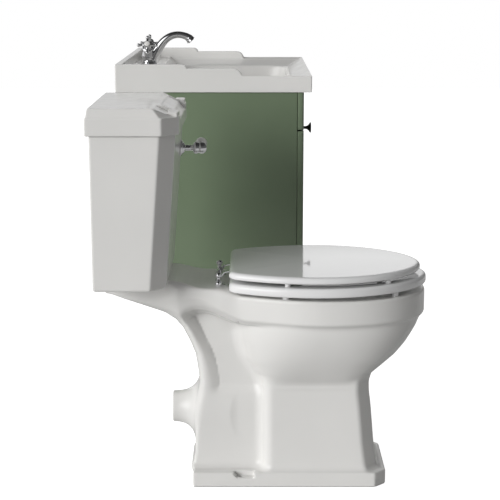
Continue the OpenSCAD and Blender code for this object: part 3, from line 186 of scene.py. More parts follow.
def block(low, high, bevel, segments=3):
    """Box with rounded edges."""
    bm = bmesh.new()
    bmesh.ops.create_cube(bm, size=1)
    low, high = np.asarray(low, float), np.asarray(high, float)
    for v in bm.verts:
        v.co = Vector(low + (np.array(v.co) + 0.5) * (high - low))
    bmesh.ops.bevel(bm, geom=list(bm.edges), offset=bevel, segments=segments, profile=0.5, affect="EDGES")
    bm.verts.index_update()
    points = [tuple(v.co) for v in bm.verts]
    faces = [tuple(v.index for v in f.verts) for f in bm.faces]
    bm.free()
    return points, faces


def extruded(outline, low, high, axis=0, bevel=0.0, segments=3):
    """Flat outline of two of x, u, z, made solid from low to high along the third, axis."""
    bm = bmesh.new()
    others = [i for i in range(3) if i != axis]
    verts = []
    for p in outline:
        co = [0.0, 0.0, 0.0]
        co[others[0]], co[others[1]], co[axis] = p[0], p[1], low
        verts.append(bm.verts.new(co))
    face = bm.faces.new(verts)
    made = bmesh.ops.extrude_face_region(bm, geom=[face])
    step = [0.0, 0.0, 0.0]
    step[axis] = high - low
    bmesh.ops.translate(bm, vec=step, verts=[g for g in made["geom"] if isinstance(g, bmesh.types.BMVert)])
    bmesh.ops.recalc_face_normals(bm, faces=bm.faces)
    if bevel:
        edges = [e for e in bm.edges if e.calc_face_angle(0) > 0.35]
        bmesh.ops.bevel(bm, geom=edges, offset=bevel, segments=segments, profile=0.5, affect="EDGES")
    bm.verts.index_update()
    points = [tuple(v.co) for v in bm.verts]
    faces = [tuple(v.index for v in f.verts) for f in bm.faces]
    bm.free()
    return points, faces


# Rounded solids from distance functions

# brings the sum of two distances at right angles to the distance from the slanting plane
SLANT = 0.7071


def smin(a, b, k):
    """The lesser of two distances, rounded where they meet over a width of k."""
    h = np.maximum(k - np.abs(a - b), 0) / k
    return np.minimum(a, b) - h * h * k * 0.25


def smax(a, b, k):
    """The greater of two distances, rounded where they meet over a width of k."""
    return -smin(-a, -b, k)


def ramp(v, a, b):
    """0 at a, 1 at b, smooth between."""
    t = np.clip((v - a) / (b - a), 0, 1)
    return t * t * (3 - 2 * t)


def outline_distance(outline, a, b):
    """Signed distance from points a, b to a closed outline, less than 0 inside."""
    pts = np.asarray(outline, float)
    best, inside = None, None
    for p, q in zip(pts, np.roll(pts, -1, axis=0)):
        e = q - p
        length = max(e @ e, 1e-9)
        t = np.clip(((a - p[0]) * e[0] + (b - p[1]) * e[1]) / length, 0, 1)
        d = (a - p[0] - t * e[0]) ** 2 + (b - p[1] - t * e[1]) ** 2
        best = d if best is None else np.minimum(best, d)
        if p[1] != q[1]:
            crosses = (p[1] > b) != (q[1] > b)
            hit = crosses & (a < (q[0] - p[0]) * (b - p[1]) / (q[1] - p[1]) + p[0])
            inside = hit if inside is None else inside ^ hit
    return np.where(inside, -1.0, 1.0) * np.sqrt(best)


def oval_distance(x, u, front, back, half, power):
    """About the distance from a superellipse, less than 0 inside."""
    mid, semi = (front + back) / 2, (front - back) / 2
    a, b = np.abs(x) / half + 1e-6, np.abs(u - mid) / semi + 1e-6
    q = (a ** power + b ** power) ** (1 / power)
    slope = np.sqrt((a ** (power - 1) / half) ** 2 + (b ** (power - 1) / semi) ** 2) * q ** (1 - power)
    return (q - 1) / np.maximum(slope, 1 / np.maximum(half, semi) * 0.5)


def table(z, heights, values, soften=6):
    """Value at height z, from a table with softened corners."""
    fine = np.arange(heights[0] - 60, heights[-1] + 60, 1.0)
    v = np.interp(fine, heights, values)
    width = int(2 * soften) + 1
    v = np.convolve(np.pad(v, width, mode="edge"), np.ones(width) / width, mode="same")[width:-width]
    return np.interp(z, fine, v)


def solid(function, xs, us, zs, mirror=True):
    """Surface of the function's zero, as a net of quads that lies on it, with its true normals."""
    if mirror:
        half = function(xs[:, None, None], us[None, :, None], zs[None, None, :])
        half = np.broadcast_to(half, (len(xs), len(us), len(zs)))
        values = np.concatenate([half[::-1], half])
        xs = np.concatenate([-xs[::-1], xs])
    else:
        values = np.broadcast_to(function(xs[:, None, None], us[None, :, None], zs[None, None, :]),
                                 (len(xs), len(us), len(zs)))
    inside = values < 0
    nx, ny, nz = values.shape
    count = np.zeros((nx - 1, ny - 1, nz - 1), np.int8)
    corners = [(i, j, k) for i in (0, 1) for j in (0, 1) for k in (0, 1)]
    for i, j, k in corners:
        count += inside[i:nx - 1 + i, j:ny - 1 + j, k:nz - 1 + k]
    active = (count > 0) & (count < 8)
    number = np.full(active.shape, -1)
    number[active] = np.arange(active.sum())
    ci, cj, ck = np.nonzero(active)
    total, hits = np.zeros((len(ci), 3)), np.zeros(len(ci))
    for a in corners:
        for axis in range(3):
            if a[axis]:
                continue
            b = tuple(a[n] + (n == axis) for n in range(3))
            fa = values[ci + a[0], cj + a[1], ck + a[2]]
            fb = values[ci + b[0], cj + b[1], ck + b[2]]
            cross = (fa < 0) != (fb < 0)
            t = np.where(cross, fa / np.where(cross, fa - fb, 1), 0)[:, None]
            pa = np.stack([xs[ci + a[0]], us[cj + a[1]], zs[ck + a[2]]], 1)
            pb = np.stack([xs[ci + b[0]], us[cj + b[1]], zs[ck + b[2]]], 1)
            total[cross] += (pa + t * (pb - pa))[cross]
            hits[cross] += 1
    points = total / hits[:, None]
    faces = []
    for axis in range(3):
        low = [slice(None)] * 3
        high = [slice(None)] * 3
        low[axis], high[axis] = slice(None, -1), slice(1, None)
        a, b = inside[tuple(low)], inside[tuple(high)]
        for sign, flip in ((a & ~b, False), (~a & b, True)):
            i, j, k = np.nonzero(sign)
            o1, o2 = [n for n in range(3) if n != axis]
            index = np.stack([i, j, k], 1)
            ok = (index[:, o1] > 0) & (index[:, o2] > 0)
            ok &= (index[:, o1] < values.shape[o1] - 1) & (index[:, o2] < values.shape[o2] - 1)
            index = index[ok]
            quad = []
            for d1, d2 in ((-1, -1), (0, -1), (0, 0), (-1, 0)):
                c = index.copy()
                c[:, o1] += d1
                c[:, o2] += d2
                quad.append(number[c[:, 0], c[:, 1], c[:, 2]])
            quad = np.stack(quad, 1)
            if flip != (axis == 1):
                quad = quad[:, ::-1]
            faces.append(quad)
    faces = np.concatenate(faces)
    step = np.array([np.diff(xs).min(), np.diff(us).min(), np.diff(zs).min()]).max()
    eps = 0.25
    for _ in range(4):
        value = function(points[:, 0], points[:, 1], points[:, 2])
        grad = gradient(function, points, eps)
        size = np.maximum((grad ** 2).sum(1), 0.05)
        move = grad * (value / size)[:, None]
        length = np.linalg.norm(move, axis=1)
        points = points - move * np.minimum(1, step * 0.5 / np.maximum(length, 1e-9))[:, None]
    grad = gradient(function, points, 0.8)
    normals = grad / np.maximum(np.linalg.norm(grad, axis=1), 1e-9)[:, None]
    return points, faces.tolist(), normals


def gradient(function, points, eps):
    """Slope of the function at each point, from differences over eps to each side."""
    out = []
    for n in range(3):
        d = np.zeros(3)
        d[n] = eps
        a, b = points + d, points - d
        out.append((function(a[:, 0], a[:, 1], a[:, 2]) - function(b[:, 0], b[:, 1], b[:, 2])) / (2 * eps))
    return np.stack(out, 1)


def steps(*spans):
    """Grid lines from spans of start, end and spacing."""
    out = []
    for start, end, gap in spans:
        gap = gap * 1.0
        out.append(np.linspace(start, end, max(2, int(round((end - start) / gap)) + 1))[:-1])
    out.append(np.array([spans[-1][1]]))
    return np.concatenate(out)


# Materials

def new_material(name):
    """Material with one shader, its nodes and its links."""
    m = bpy.data.materials.new(name)
    m.use_nodes = True
    m.node_tree.nodes.clear()
    out = m.node_tree.nodes.new("ShaderNodeOutputMaterial")
    shader = m.node_tree.nodes.new("ShaderNodeBsdfPrincipled")
    m.node_tree.links.new(shader.outputs[0], out.inputs[0])
    return m, m.node_tree.nodes, m.node_tree.links, shader


def noise(nodes, links, coords, scale, detail=2.0, stretch=None):
    """Noise from 0 to 1, stretched along the axes on request."""
    n = nodes.new("ShaderNodeTexNoise")
    n.inputs["Scale"].default_value = scale
    n.inputs["Detail"].default_value = detail
    source = coords
    if stretch:
        m = nodes.new("ShaderNodeMapping")
        m.inputs["Scale"].default_value = stretch
        links.new(coords, m.inputs["Vector"])
        source = m.outputs["Vector"]
    links.new(source, n.inputs["Vector"])
    return n.outputs["Fac"]


def colour_ramp(nodes, links, factor, stops):
    """Colour for the factor, from stops of place and colour."""
    r = nodes.new("ShaderNodeValToRGB")
    while len(r.color_ramp.elements) < len(stops):
        r.color_ramp.elements.new(0.5)
    for e, (place, colour) in zip(r.color_ramp.elements, stops):
        e.position = place
        e.color = (*colour, 1)
    links.new(factor, r.inputs["Fac"])
    return r.outputs["Color"]


def spread(nodes, links, factor, low, high):
    """The factor from 0 to 1, brought to a range."""
    r = nodes.new("ShaderNodeMapRange")
    r.inputs["To Min"].default_value = low
    r.inputs["To Max"].default_value = high
    links.new(factor, r.inputs["Value"])
    return r.outputs["Result"]


def math_node(nodes, links, kind, a, b):
    """Sum, product or the like of two values or outputs."""
    n = nodes.new("ShaderNodeMath")
    n.operation = kind
    for socket, v in zip(n.inputs, (a, b)):
        if isinstance(v, (int, float)):
            socket.default_value = v
        else:
            links.new(v, socket)
    return n.outputs[0]


def mixed(nodes, links, kind, factor, first, second):
    """First where the factor is 0, second where it is 1."""
    n = nodes.new(kind)
    base = 2 if kind == "ShaderNodeMix" else 1
    for index, output in ((0, factor), (base, first), (base + 1, second)):
        links.new(output, n.inputs[index])
    return n.outputs[0]


def bump(nodes, links, height, strength, distance, shader):
    """Fine relief on the shader."""
    b = nodes.new("ShaderNodeBump")
    b.inputs["Strength"].default_value = strength
    b.inputs["Distance"].default_value = distance
    links.new(height, b.inputs["Height"])
    links.new(b.outputs["Normal"], shader.inputs["Normal"])


def object_coords(nodes):
    """Coordinates that ride with the piece."""
    return nodes.new("ShaderNodeTexCoord").outputs["Object"]


def surface(name, stops, tint, gloss, rough, relief=None):
    """Material with a mottled colour, an uneven gloss and fine relief where it is given.

    tint, gloss and the first of relief are the scale, detail and stretch of a noise; rough is the
    range of the roughness, and the rest of relief its strength and depth.
    """
    m, nodes, links, s = new_material(name)
    co = object_coords(nodes)
    links.new(colour_ramp(nodes, links, noise(nodes, links, co, *tint), stops), s.inputs["Base Color"])
    links.new(spread(nodes, links, noise(nodes, links, co, *gloss), *rough), s.inputs["Roughness"])
    if relief:
        pattern, strength, depth = relief
        bump(nodes, links, noise(nodes, links, co, *pattern), strength, depth, s)
    return m, s


def glazed(name, light, dark, rough, coat, wave=0.03):
    """Glazed ceramic or gloss plastic: a cloudy tint, a slightly uneven gloss and faint waves."""
    m, s = surface(name, [(0.35, dark), (0.65, light)], (6, 3), (34, 2), (rough * 0.7, rough * 1.4),
                   ((22, 1), wave, 0.002))
    s.inputs["IOR"].default_value = 1.5
    s.inputs["Coat Weight"].default_value = coat
    s.inputs["Coat Roughness"].default_value = 0.04
    return m


def metal(name, colour, rough, brushed=False):
    """Bare or plated metal: slightly uneven gloss, with fine lines where it is brushed."""
    dark = tuple(c * 0.9 for c in colour)
    lines = (60, 2, (1, 1, 14)) if brushed else (60, 2)
    m, s = surface(name, [(0.3, dark), (0.7, colour)], lines, lines, (rough * 0.6, rough * 1.5),
                   (lines, 0.15, 0.0004) if brushed else None)
    s.inputs["Metallic"].default_value = 1.0
    return m


def painted(name, light, dark, rough):
    """Satin paint on board: cloudy tint, faint roller stipple."""
    return surface(name, [(0.3, dark), (0.7, light)], (5, 3), (90, 3), (rough * 0.85, rough * 1.15),
                   ((420, 2), 0.06, 0.0003))[0]


def board(name, light, dark):
    """Plastic-faced board with a faint grain."""
    grain = (9, 4, (1, 12, 12))
    return surface(name, [(0.3, dark), (0.7, light)], grain, grain, (0.4, 0.55), (grain, 0.12, 0.0004))[0]


def moulded(name, light, dark, rough):
    """Moulded plastic or rubber: fine texture and a slight mottle."""
    return surface(name, [(0.3, dark), (0.7, light)], (12, 2), (120, 2), (rough * 0.85, rough * 1.15),
                   ((500, 2), 0.08, 0.0002))[0]


CERAMIC = glazed("glazed_ceramic", (0.80, 0.792, 0.772), (0.775, 0.768, 0.748), 0.2, 0.35)
SEAT_WHITE = glazed("gloss_seat", (0.86, 0.86, 0.86), (0.84, 0.84, 0.84), 0.10, 1.0, 0.008)
CHROME = metal("chrome", (0.86, 0.865, 0.88), 0.045)
GREEN = painted("green_satin", (0.176, 0.232, 0.148), (0.160, 0.213, 0.134), 0.36)
BOARD = board("carcass_board", (0.50, 0.50, 0.46), (0.40, 0.40, 0.37))
PLASTIC = moulded("white_plastic", (0.72, 0.73, 0.74), (0.68, 0.69, 0.70), 0.45)
RUBBER = moulded("black_rubber", (0.02, 0.02, 0.02), (0.012, 0.012, 0.012), 0.7)
FLOAT = moulded("black_foam", (0.03, 0.03, 0.03), (0.02, 0.02, 0.02), 0.8)
BRASS = metal("brass", (0.62, 0.44, 0.18), 0.3, True)
ZINC = metal("zinc_steel", (0.55, 0.56, 0.58), 0.35, True)
KNOB = painted("black_satin", (0.012, 0.012, 0.012), (0.008, 0.008, 0.008), 0.28)
BY_SLOT = {
    "white_ceramic": CERAMIC, "white_seat": SEAT_WHITE, "chrome_plate": CHROME, "green_paint": GREEN,
    "carcass_board": BOARD, "white_plastic": PLASTIC, "black_rubber": RUBBER, "brass_bare": BRASS,
    "black_knob": KNOB, "zinc_steel": ZINC, "float_black": FLOAT,
}
for part in frame["record"]["subparts"]:
    o = frame["nodes"][part["node"]]
    o.data.materials.clear()
    o.data.materials.append(BY_SLOT[part["material_slot"]])


# Pan

def rim_outline():
    """The rim from above, which narrows to the deck behind it."""
    half, mid, reach, tail, deck = 161, 480, 693, 178, 86
    front = [(half * math.sin(a) ** (2 / 2.2), mid + (reach - mid) * math.cos(a) ** (2 / 2.2))
             for a in np.radians(np.arange(0, 90.1, 3))]
    back = [(deck + (half - deck) * (0.5 + 0.5 * math.cos(math.pi * t)), mid + (tail - mid) * t)
            for t in np.arange(0.04, 1.001, 0.04)]
    right = front + back
    return right + [(-x, u) for x, u in right[:0:-1]]


RIM = rim_outline()
# from the side, as u and z: the deck with the trap leg, and the sunk web between the leg and the bowl
DECK = [(22, 438), (120, 438.5), (152, 438.5), (168, 437), (185, 431), (199, 423), (212, 417.5), (226, 414),
        (300, 410), (385, 400), (385, 28), (201, 28), (206, 60), (207, 94), (212, 150), (216, 216),
        (214, 238), (208, 275), (198, 301), (182, 334), (167, 353), (146, 367), (115, 380), (74, 397),
        (39, 411), (22, 415)]
WEB = [(207, 360), (214, 363.5), (230, 365), (246, 362), (262, 356), (285, 345), (365, 338), (365, 209),
       (259, 209), (256, 240), (250, 268), (242, 291), (231, 312), (221, 334), (213, 350)]
PLINTH_HALF, PLINTH_FRONT, PLINTH_TOP = 107.5, 611, 31
OUTLET_Z, OUTLET_R, OUTLET_BORE = 145, 33.5, 27.5
RIM_TOP, RIM_LOW = 415, 365
TRAP_TOP, THROAT, OUTLET_START = (0, 322, 197), (0, 425, 136), (0, 262, OUTLET_Z)


def bowl_inside(x, u, z):
    """The pan's bowl, down to the throat."""
    heights = [92, 100, 122, 175, 225, 290, 360, 380, 386, 392, 416]
    front = table(z, heights, [480, 495, 515, 535, 566, 616, 648, 655, 654, 648, 652], 4)
    back = table(z, heights, [410, 402, 392, 385, 372, 352, 333, 328, 329, 336, 334], 4)
    half = table(z, heights, [28, 38, 50, 60, 79, 106, 121, 127, 126, 118, 121], 4)
    side = oval_distance(x, u, front, back, half, 2.12)
    return smax(side, 100 - z, 20)


def pipe_distance(x, u, z, a, b, radius):
    """Distance from a straight pipe with round ends in the plane x = 0."""
    a, b = np.array(a, float), np.array(b, float)
    e = b - a
    t = np.clip((x * e[0] + (u - a[1]) * e[1] + (z - a[2]) * e[2]) / (e @ e), 0, 1)
    return np.sqrt(x ** 2 + (u - a[1] - t * e[1]) ** 2 + (z - a[2] - t * e[2]) ** 2) - radius


def pan_shape(x, u, z):
    """Pan with its pedestal, plinth, trap leg, deck, rim and outlet."""
    x = np.abs(x)
    # bowl and its flank
    side_t = np.clip((z - 218) / 137, 0, 1)
    front = table(z, [200, 225, 240, 257, 281, 305, 322, 340, 352, 366],
                  [562, 567, 584, 606, 634, 655, 666, 677, 682, 683], 5)
    back = table(z, [200, 230, 250, 270, 310, 350], [351, 342, 326, 312, 298, 288], 9)
    bowl = oval_distance(x, u, front, back, 86 + 65 * (1 - (1 - side_t) ** 1.9),
                         table(z, [210, 230, 257, 300, 355], [6, 4.6, 3.3, 2.7, 2.3], 8))
    bowl = smax(bowl, z - 366, 4)
    bowl = smax(bowl, 212 - z, 6)
    # pedestal
    half = table(z, [20, 40, 225, 260], [96, 95, 88, 87], 8)
    front = table(z, [17, 60, 90, 136, 170, 200, 225, 245], [597, 590, 586, 582, 579, 575, 575, 586], 9)
    pedestal = smax(x - half, u - front, 5)
    pedestal = smax(pedestal, (x + u - half - front + 27) * SLANT, 5)
    back = smax(352 - u, (x - half + 352 - u + 11) * SLANT, 7)
    pedestal = smax(pedestal, back, 7)
    pedestal = smax(pedestal, z - 235, 8)
    body = smin(bowl, pedestal, 9)
    # deck, trap and the sunk web
    wide = table(z, [28, 120, 219, 270, 320, 360, 372], [66, 63, 62, 66, 74, 83, 86], 12)
    edge = table(z, [60, 120, 330, 372, 404, 412], [8, 12, 34, 38, 9, 8], 4)
    deck = smax(outline_distance(DECK, u, z), x - wide, edge)
    off = np.clip(outline_distance(WEB, u, z) / 42, 0, 1)
    skin = 53 + (wide - 51) * (1 - (1 - off) ** 1.8)
    deck = smax(deck, (x - skin) * 0.9, 3)
    body = smin(body, deck, 22)
    # upright rim with a bevel under it, which fades out towards the deck
    plan = outline_distance(RIM, x, u)
    low = RIM_LOW + 48 * ramp(u, 318, 206)
    rim = smax(plan, (plan + low - z) * SLANT, 2.5)
    rim = smax(rim, z - RIM_TOP, 7)
    rim = smax(rim, low - 12 - z, 2)
    body = smin(body, rim, 5 + 50 * ramp(u, 340, 256))
    # soil outlet
    rho = np.sqrt(x ** 2 + (z - OUTLET_Z) ** 2)
    outlet = smax(smax(rho - OUTLET_R, 157 - u, 3), u - 250, 3)
    body = smin(body, outlet, 50)
    # plinth
    plinth = smax(x - PLINTH_HALF, u - PLINTH_FRONT, 2.5)
    plinth = smax(plinth, (x + u - PLINTH_HALF - PLINTH_FRONT + 24) * SLANT, 2.5)
    plinth = smax(plinth, 203 - u, 3)
    plinth = smax(plinth, z - PLINTH_TOP, 4)
    body = smin(body, plinth, 15)
    body = np.maximum(body, -z)
    # screw notch with its hole, hollow foot
    notch = smax(285 + (34 - z) * 0.8 - u, u - 332, 2)
    notch = smax(notch, smax(90 - x, np.abs(z - 30) - 10, 2), 2)
    body = smax(body, -notch, 2)
    body = smax(body, 4.2 - np.sqrt((x - 95) ** 2 + (u - 302) ** 2) + 0 * z, 1)
    foot = smax(smax(x - 76, u - 566, 8), 372 - u, 8)
    foot = smin(foot, smax(smax(x - 44, 232 - u, 8), u - 400, 8), 4)
    body = smax(body, -smax(foot, z - 62, 8), 2)
    # bowl, its throat, the bore of the outlet
    body = smax(body, -bowl_inside(x, u, z), 7)
    body = smax(body, -pipe_distance(x, u, z, THROAT, TRAP_TOP, 29), 8)
    bore = smin(smax(rho - OUTLET_BORE, u - 262, 2), pipe_distance(x, u, z, TRAP_TOP, OUTLET_START, 29), 4)
    return smax(body, -bore, 2.5)


gap = 3.6
points, faces, normals = solid(
    pan_shape, np.arange(gap / 2, 172, gap), np.arange(14, 702, gap), np.arange(-gap / 2 - 1, 446, gap))
make("pan_body", points, faces, "toilet", CERAMIC, "fixed", ["pan"], normals=normals)


# Cistern and its lid

TANK_LOW, TANK_TOP, TANK_CORNER = 439, 762, 31
LID_HALF, LID_FRONT = 189, 184


def cistern_shape(x, u, z):
    """Tank, which widens upwards and has a slanting face at each front corner."""
    x = np.abs(x)
    t = (z - TANK_LOW) / (TANK_TOP - TANK_LOW)
    half, front, back = 179 + 4 * t, 154 + 23 * t, 8.5 - t
    corner = x + u - half - front + TANK_CORNER
    shell = smax(smax(x - half, u - front, 2), corner * SLANT, 2.5)
    shell = smax(shell, back - u, 4)
    shell = smax(shell, TANK_LOW - z, 6)
    shell = smax(shell, z - TANK_TOP, 3)
    wall = 9
    room = smax(x - half + wall, u - front + wall, 6)
    room = smax(room, (corner + wall * 1.4) * SLANT, 6)
    room = smax(room, back + wall - u, 6)
    room = smax(room, 453 - z, 10)
    return smax(shell, -room, 2)


def lid_shape(x, u, z):
    """The cistern's lid: a low tier, a high tier and a stepped front."""
    x = np.abs(x)
    plan = smax(smax(x - LID_HALF, u - LID_FRONT, 2), (x + u - LID_HALF - LID_FRONT + 34) * SLANT, 2.5)
    plan = smax(plan, -u, 3)
    slope = ((x - LID_HALF) * 21 + (z - 785) * 11) / 23.7
    rear = ((2 - u) * 21 + (z - 788) * 3) / 21.2
    # low tier with a raised block at each front corner
    low = smax(smax(plan, z - 788.5, 2), slope, 1.5)
    block = smax(smax(x - 158, 106 - x, 3), smax(u - 182, 160 - u, 4), 4)
    block = smax(smax(block, z - 797.8, 4), plan, 2)
    low = smin(low, block, 2)
    # high tier: its front slopes down, and steps down at the corners
    high = smax(smax(slope, z - 806.6, 1.6), (x + u - 311 + (z - 806) * 1.3) * 0.52, 1.5)
    corner = (u - 137) * 0.416 + (z - 805) * 0.91
    middle = (u - 146) * 0.447 + (z - 806.6) * 0.894
    front = smax(middle, x - 104, 0.8)
    front = smin(front, corner, 0.8)
    rib = smax(smax(np.abs(x - 105) - 1.8, middle - 1.3, 1), z - 806.6, 1)
    front = smin(front, rib, 0.8)
    high = smax(high, front, 1.2)
    high = smax(smax(high, rear, 2), plan, 2)
    shell = np.maximum(smin(low, high, 2), plan)
    # the middle of the front leans back
    lean = (u - LID_FRONT) * 0.805 + (z - 776) * 0.593
    shell = smax(shell, smin(108 - x, lean, 1.5), 1.5)
    shell = smax(shell, 752.8 - z, 3)
    room = smax(smax(x - 184.6, u - 178.6, 3), (x + u - 184.6 - 178.6 + 31) * SLANT, 3)
    room = smax(smax(room, 7.4 - u, 3), z - 762, 2)
    upper = smax(smax(smax(x - 165, u - 150, 4), 23 - u, 4), z - 785, 4)
    upper = smax(upper, (x + u - 290) * SLANT, 4)
    return smax(shell, -smin(room, upper, 1), 2)


points, faces, normals = solid(
    cistern_shape, steps((2, 138, 22), (138, 186, 2.6)), steps((6, 26, 2.4), (26, 110, 14), (110, 180, 2.8)),
    steps((436, 472, 2.6), (472, 740, 24), (740, 764.5, 2.6)))
make("cistern_tank", points, faces, "toilet", CERAMIC, "fixed", ["cistern"],
     normals=normals)
points, faces, normals = solid(
    lid_shape, steps((1, 192, 1.9)), steps((-3, 188, 1.9)), steps((749, 782, 2.4), (782, 810, 1.6)))
make("cistern_cover", points, faces, "toilet", CERAMIC, "fixed", ["cistern_lid"],
     normals=normals)


# Basin

BASIN_HALF, BASIN_FRONT, BASIN_TOP, BASIN_LOW = 350, 470, 822.5, 785
TAP = np.array([0.0, 56.0, BASIN_TOP])


def basin_shape(x, u, z):
    """Basin slab with its upstands, bowl and holes."""
    x = np.abs(x)
    # slab that dips to the bowl, with an upstand that steps down along the sides
    dip = smin(smin((BASIN_HALF - x) / 65, (BASIN_FRONT - u) / 42, 0.04), (u - 94) / 22, 0.2)
    dip = 20.5 * np.clip(dip, 0, 1)
    band = smin(335 - x, u - 15, 9)
    rise = np.minimum(smax(u - 172, z - 849, 14), smax(u - 303, z - 838.9, 24))
    rise = np.where(x > 334, rise, z - 849)
    top = smin((z - BASIN_TOP + dip) * 0.96, smax(band, rise, 3), 5)
    plan = smax(smax(x - BASIN_HALF, u - BASIN_FRONT, 3), -u, 3)
    top = smax(top, plan, 2)
    # its under side hangs a little lower outside the cabinet
    hem = smax(782.6 - z, smin(345.8 - x, 452.4 - u, 1), 1)
    top = smax(top, smin(BASIN_LOW - z, hem, 1), 2)
    # bowl, from outside and inside
    t = np.clip((BASIN_TOP - z) / 122, 0, 1.1)
    taper = 34 * t ** 1.5
    mid, semi = 273 - taper * 0.2, 155 - taper * 0.8
    inner = smax(x - 285 + taper, np.abs(u - mid) - semi, 56)
    outer = smax(smax(inner - 12, 688.5 - z, 30), z - 795, 3)
    top = smin(top, outer, 6)
    room = smax(inner, 700.5 - z, 36)
    top = smax(top, -room, 6)
    # waste, overflow and tap holes
    rho = np.sqrt(x ** 2 + (u - 271) ** 2)
    top = smax(top, -smax(rho - 30.5, 697.5 - z, 1.5), 1.5)
    top = smax(top, 21 - rho + 0 * z, 1)
    hole = smax(np.sqrt(x ** 2 + (z - 794.5) ** 2) - 14.5, np.abs(u - 124) - 9, 1)
    top = smax(top, -hole, 1)
    drill = smax(np.sqrt(x ** 2 + (u - TAP[1]) ** 2) - 17.5, 780 - z, 1)
    return smax(top, -drill, 1.5)


points, faces, normals = solid(
    basin_shape,
    steps((1.5, 34, 3.2), (34, 200, 14), (200, 300, 4.5), (300, 330, 6), (330, 353, 1.6)),
    steps((-3, 20, 1.8), (20, 90, 6), (90, 120, 3), (120, 180, 4), (180, 236, 9), (236, 308, 3.6),
          (308, 350, 9), (350, 462, 4), (462, 473, 1.6)),
    steps((684, 700, 2.2), (700, 780, 5), (780, 852, 1.6)))
make("basin_top", points, faces, "vanity", CERAMIC, "fixed", ["basin"], normals=normals)


# Seat and lid

def seat_plan(reach, half, back_half, count=180, back=280.0, mid=468.0, power=1.9):
    """Outline of the seat, evenly spaced by the angle about its middle."""
    last = math.acos(back_half / half)
    tail = (mid - back) / math.sin(last)
    right = [(half * math.sin(a) ** (2 / power), mid + (reach - mid) * math.cos(a) ** (2 / power))
             for a in np.radians(np.arange(0, 90.1, 1.5))]
    right += [(half * math.cos(last * t), mid - tail * math.sin(last * t))
              for t in np.arange(0.03, 0.95, 0.03)]
    corner = spline([right[-1], (back_half + 1.5, back + 7), (back_half - 3, back + 2),
                     (back_half - 12, back), (back_half - 30, back)], 24)[1:]
    right += [tuple(p) for p in corner] + [(x, back) for x in np.linspace(back_half - 40, 0, 9)]
    pts = np.array(right + [(-x, u) for x, u in right[-2:0:-1]])
    angle = np.unwrap(np.arctan2(pts[:, 0], pts[:, 1] - mid))
    want = np.linspace(0, 2 * math.pi, count, endpoint=False)
    order = np.argsort(angle)
    a, r = angle[order], np.hypot(pts[:, 0], pts[:, 1] - mid)[order]
    r = np.interp(want, np.concatenate([a - 2 * math.pi, a, a + 2 * math.pi]), np.concatenate([r, r, r]))
    return np.stack([r * np.sin(want), mid + r * np.cos(want)], 1)


def drawn_in(outline, d):
    """Outline moved inwards along its normals."""
    t = np.roll(outline, -1, 0) - np.roll(outline, 1, 0)
    n = np.stack([t[:, 1], -t[:, 0]], 1)
    n = n / np.linalg.norm(n, axis=1)[:, None]
    centre = outline.mean(0)
    n *= np.sign(((outline - centre) * n).sum(1).mean())
    return outline - n * d


def flat(outline, z):
    """Ring of points at height z."""
    return np.column_stack([outline, np.full(len(outline), z)])


SEAT_MIDDLE = np.array([0, 468.0])
SEAT_HALF, SEAT_BACK_HALF = 175, 122
LID_LOW, LID_HIGH, LID_CROWN = 452.6, 467.0, 2.2
outer = seat_plan(683, SEAT_HALF, SEAT_BACK_HALF)
rim_section = [(9, LID_LOW), (4.5, 452.9), (1.8, 453.9), (0.4, 455.6), (0, 457.6), (0, 459.6), (0.4, 461.4),
               (1.5, 463.4), (3.2, 465.1), (5.6, 466.3), (8.6, 466.9), (13, LID_HIGH)]
rings = [flat(drawn_in(outer, d), z) for d, z in rim_section]
first, last = drawn_in(outer, rim_section[0][0]), drawn_in(outer, rim_section[-1][0])
top = [flat(SEAT_MIDDLE + (last - SEAT_MIDDLE) * s, LID_HIGH + LID_CROWN * (1 - s * s))
       for s in (0.96, 0.9, 0.82, 0.72, 0.6, 0.45, 0.3, 0.15, 0.05)]
under = [flat(SEAT_MIDDLE + (first - SEAT_MIDDLE) * s, LID_LOW + 1.5 * ramp(1 - s, 0.02, 0.15))
         for s in (0.08, 0.4, 0.8, 0.9, 0.95)]
points, faces = loft(under + rings + top)
make("seat_cover", points, faces, "toilet", SEAT_WHITE, "lid_body", ["toilet_lid"])

# the seat's section, as the share of the way from its outline to its hole, and the height
HOLE_HALF, HOLE_FRONT, HOLE_BACK, HOLE_POWER = 109, 156.0, 122.0, 2.2
outer = seat_plan(696, SEAT_HALF, SEAT_BACK_HALF)
turn = np.linspace(0, 2 * math.pi, 180, endpoint=False)
hole_reach = np.where(np.cos(turn) > 0, HOLE_FRONT, HOLE_BACK)
hole_r = (np.abs(np.sin(turn) / HOLE_HALF) ** HOLE_POWER
          + np.abs(np.cos(turn) / hole_reach) ** HOLE_POWER) ** (-1 / HOLE_POWER)
hole = np.stack([hole_r * np.sin(turn), SEAT_MIDDLE[1] + hole_r * np.cos(turn)], 1)
ring_section = [(0.05, 425.2), (0.02, 425.9), (0.004, 427.6), (0, 430), (0, 436.5), (0.008, 439.4),
                (0.028, 441.9), (0.065, 443.5), (0.12, 444.0), (0.3, 444.0), (0.55, 443.4), (0.75, 442.0),
                (0.88, 439.8), (0.95, 437.2), (0.985, 434), (1.0, 430.5), (0.99, 427.6), (0.96, 425.8),
                (0.9, 425.2), (0.6, 426.6), (0.3, 426.6), (0.1, 425.2)]
rings = [flat(outer + (hole - outer) * s, z) for s, z in ring_section]
points, faces = loft(rings, loop=True)
make("seat_ring", points, faces, "toilet", SEAT_WHITE, "seat_body", ["seat"])

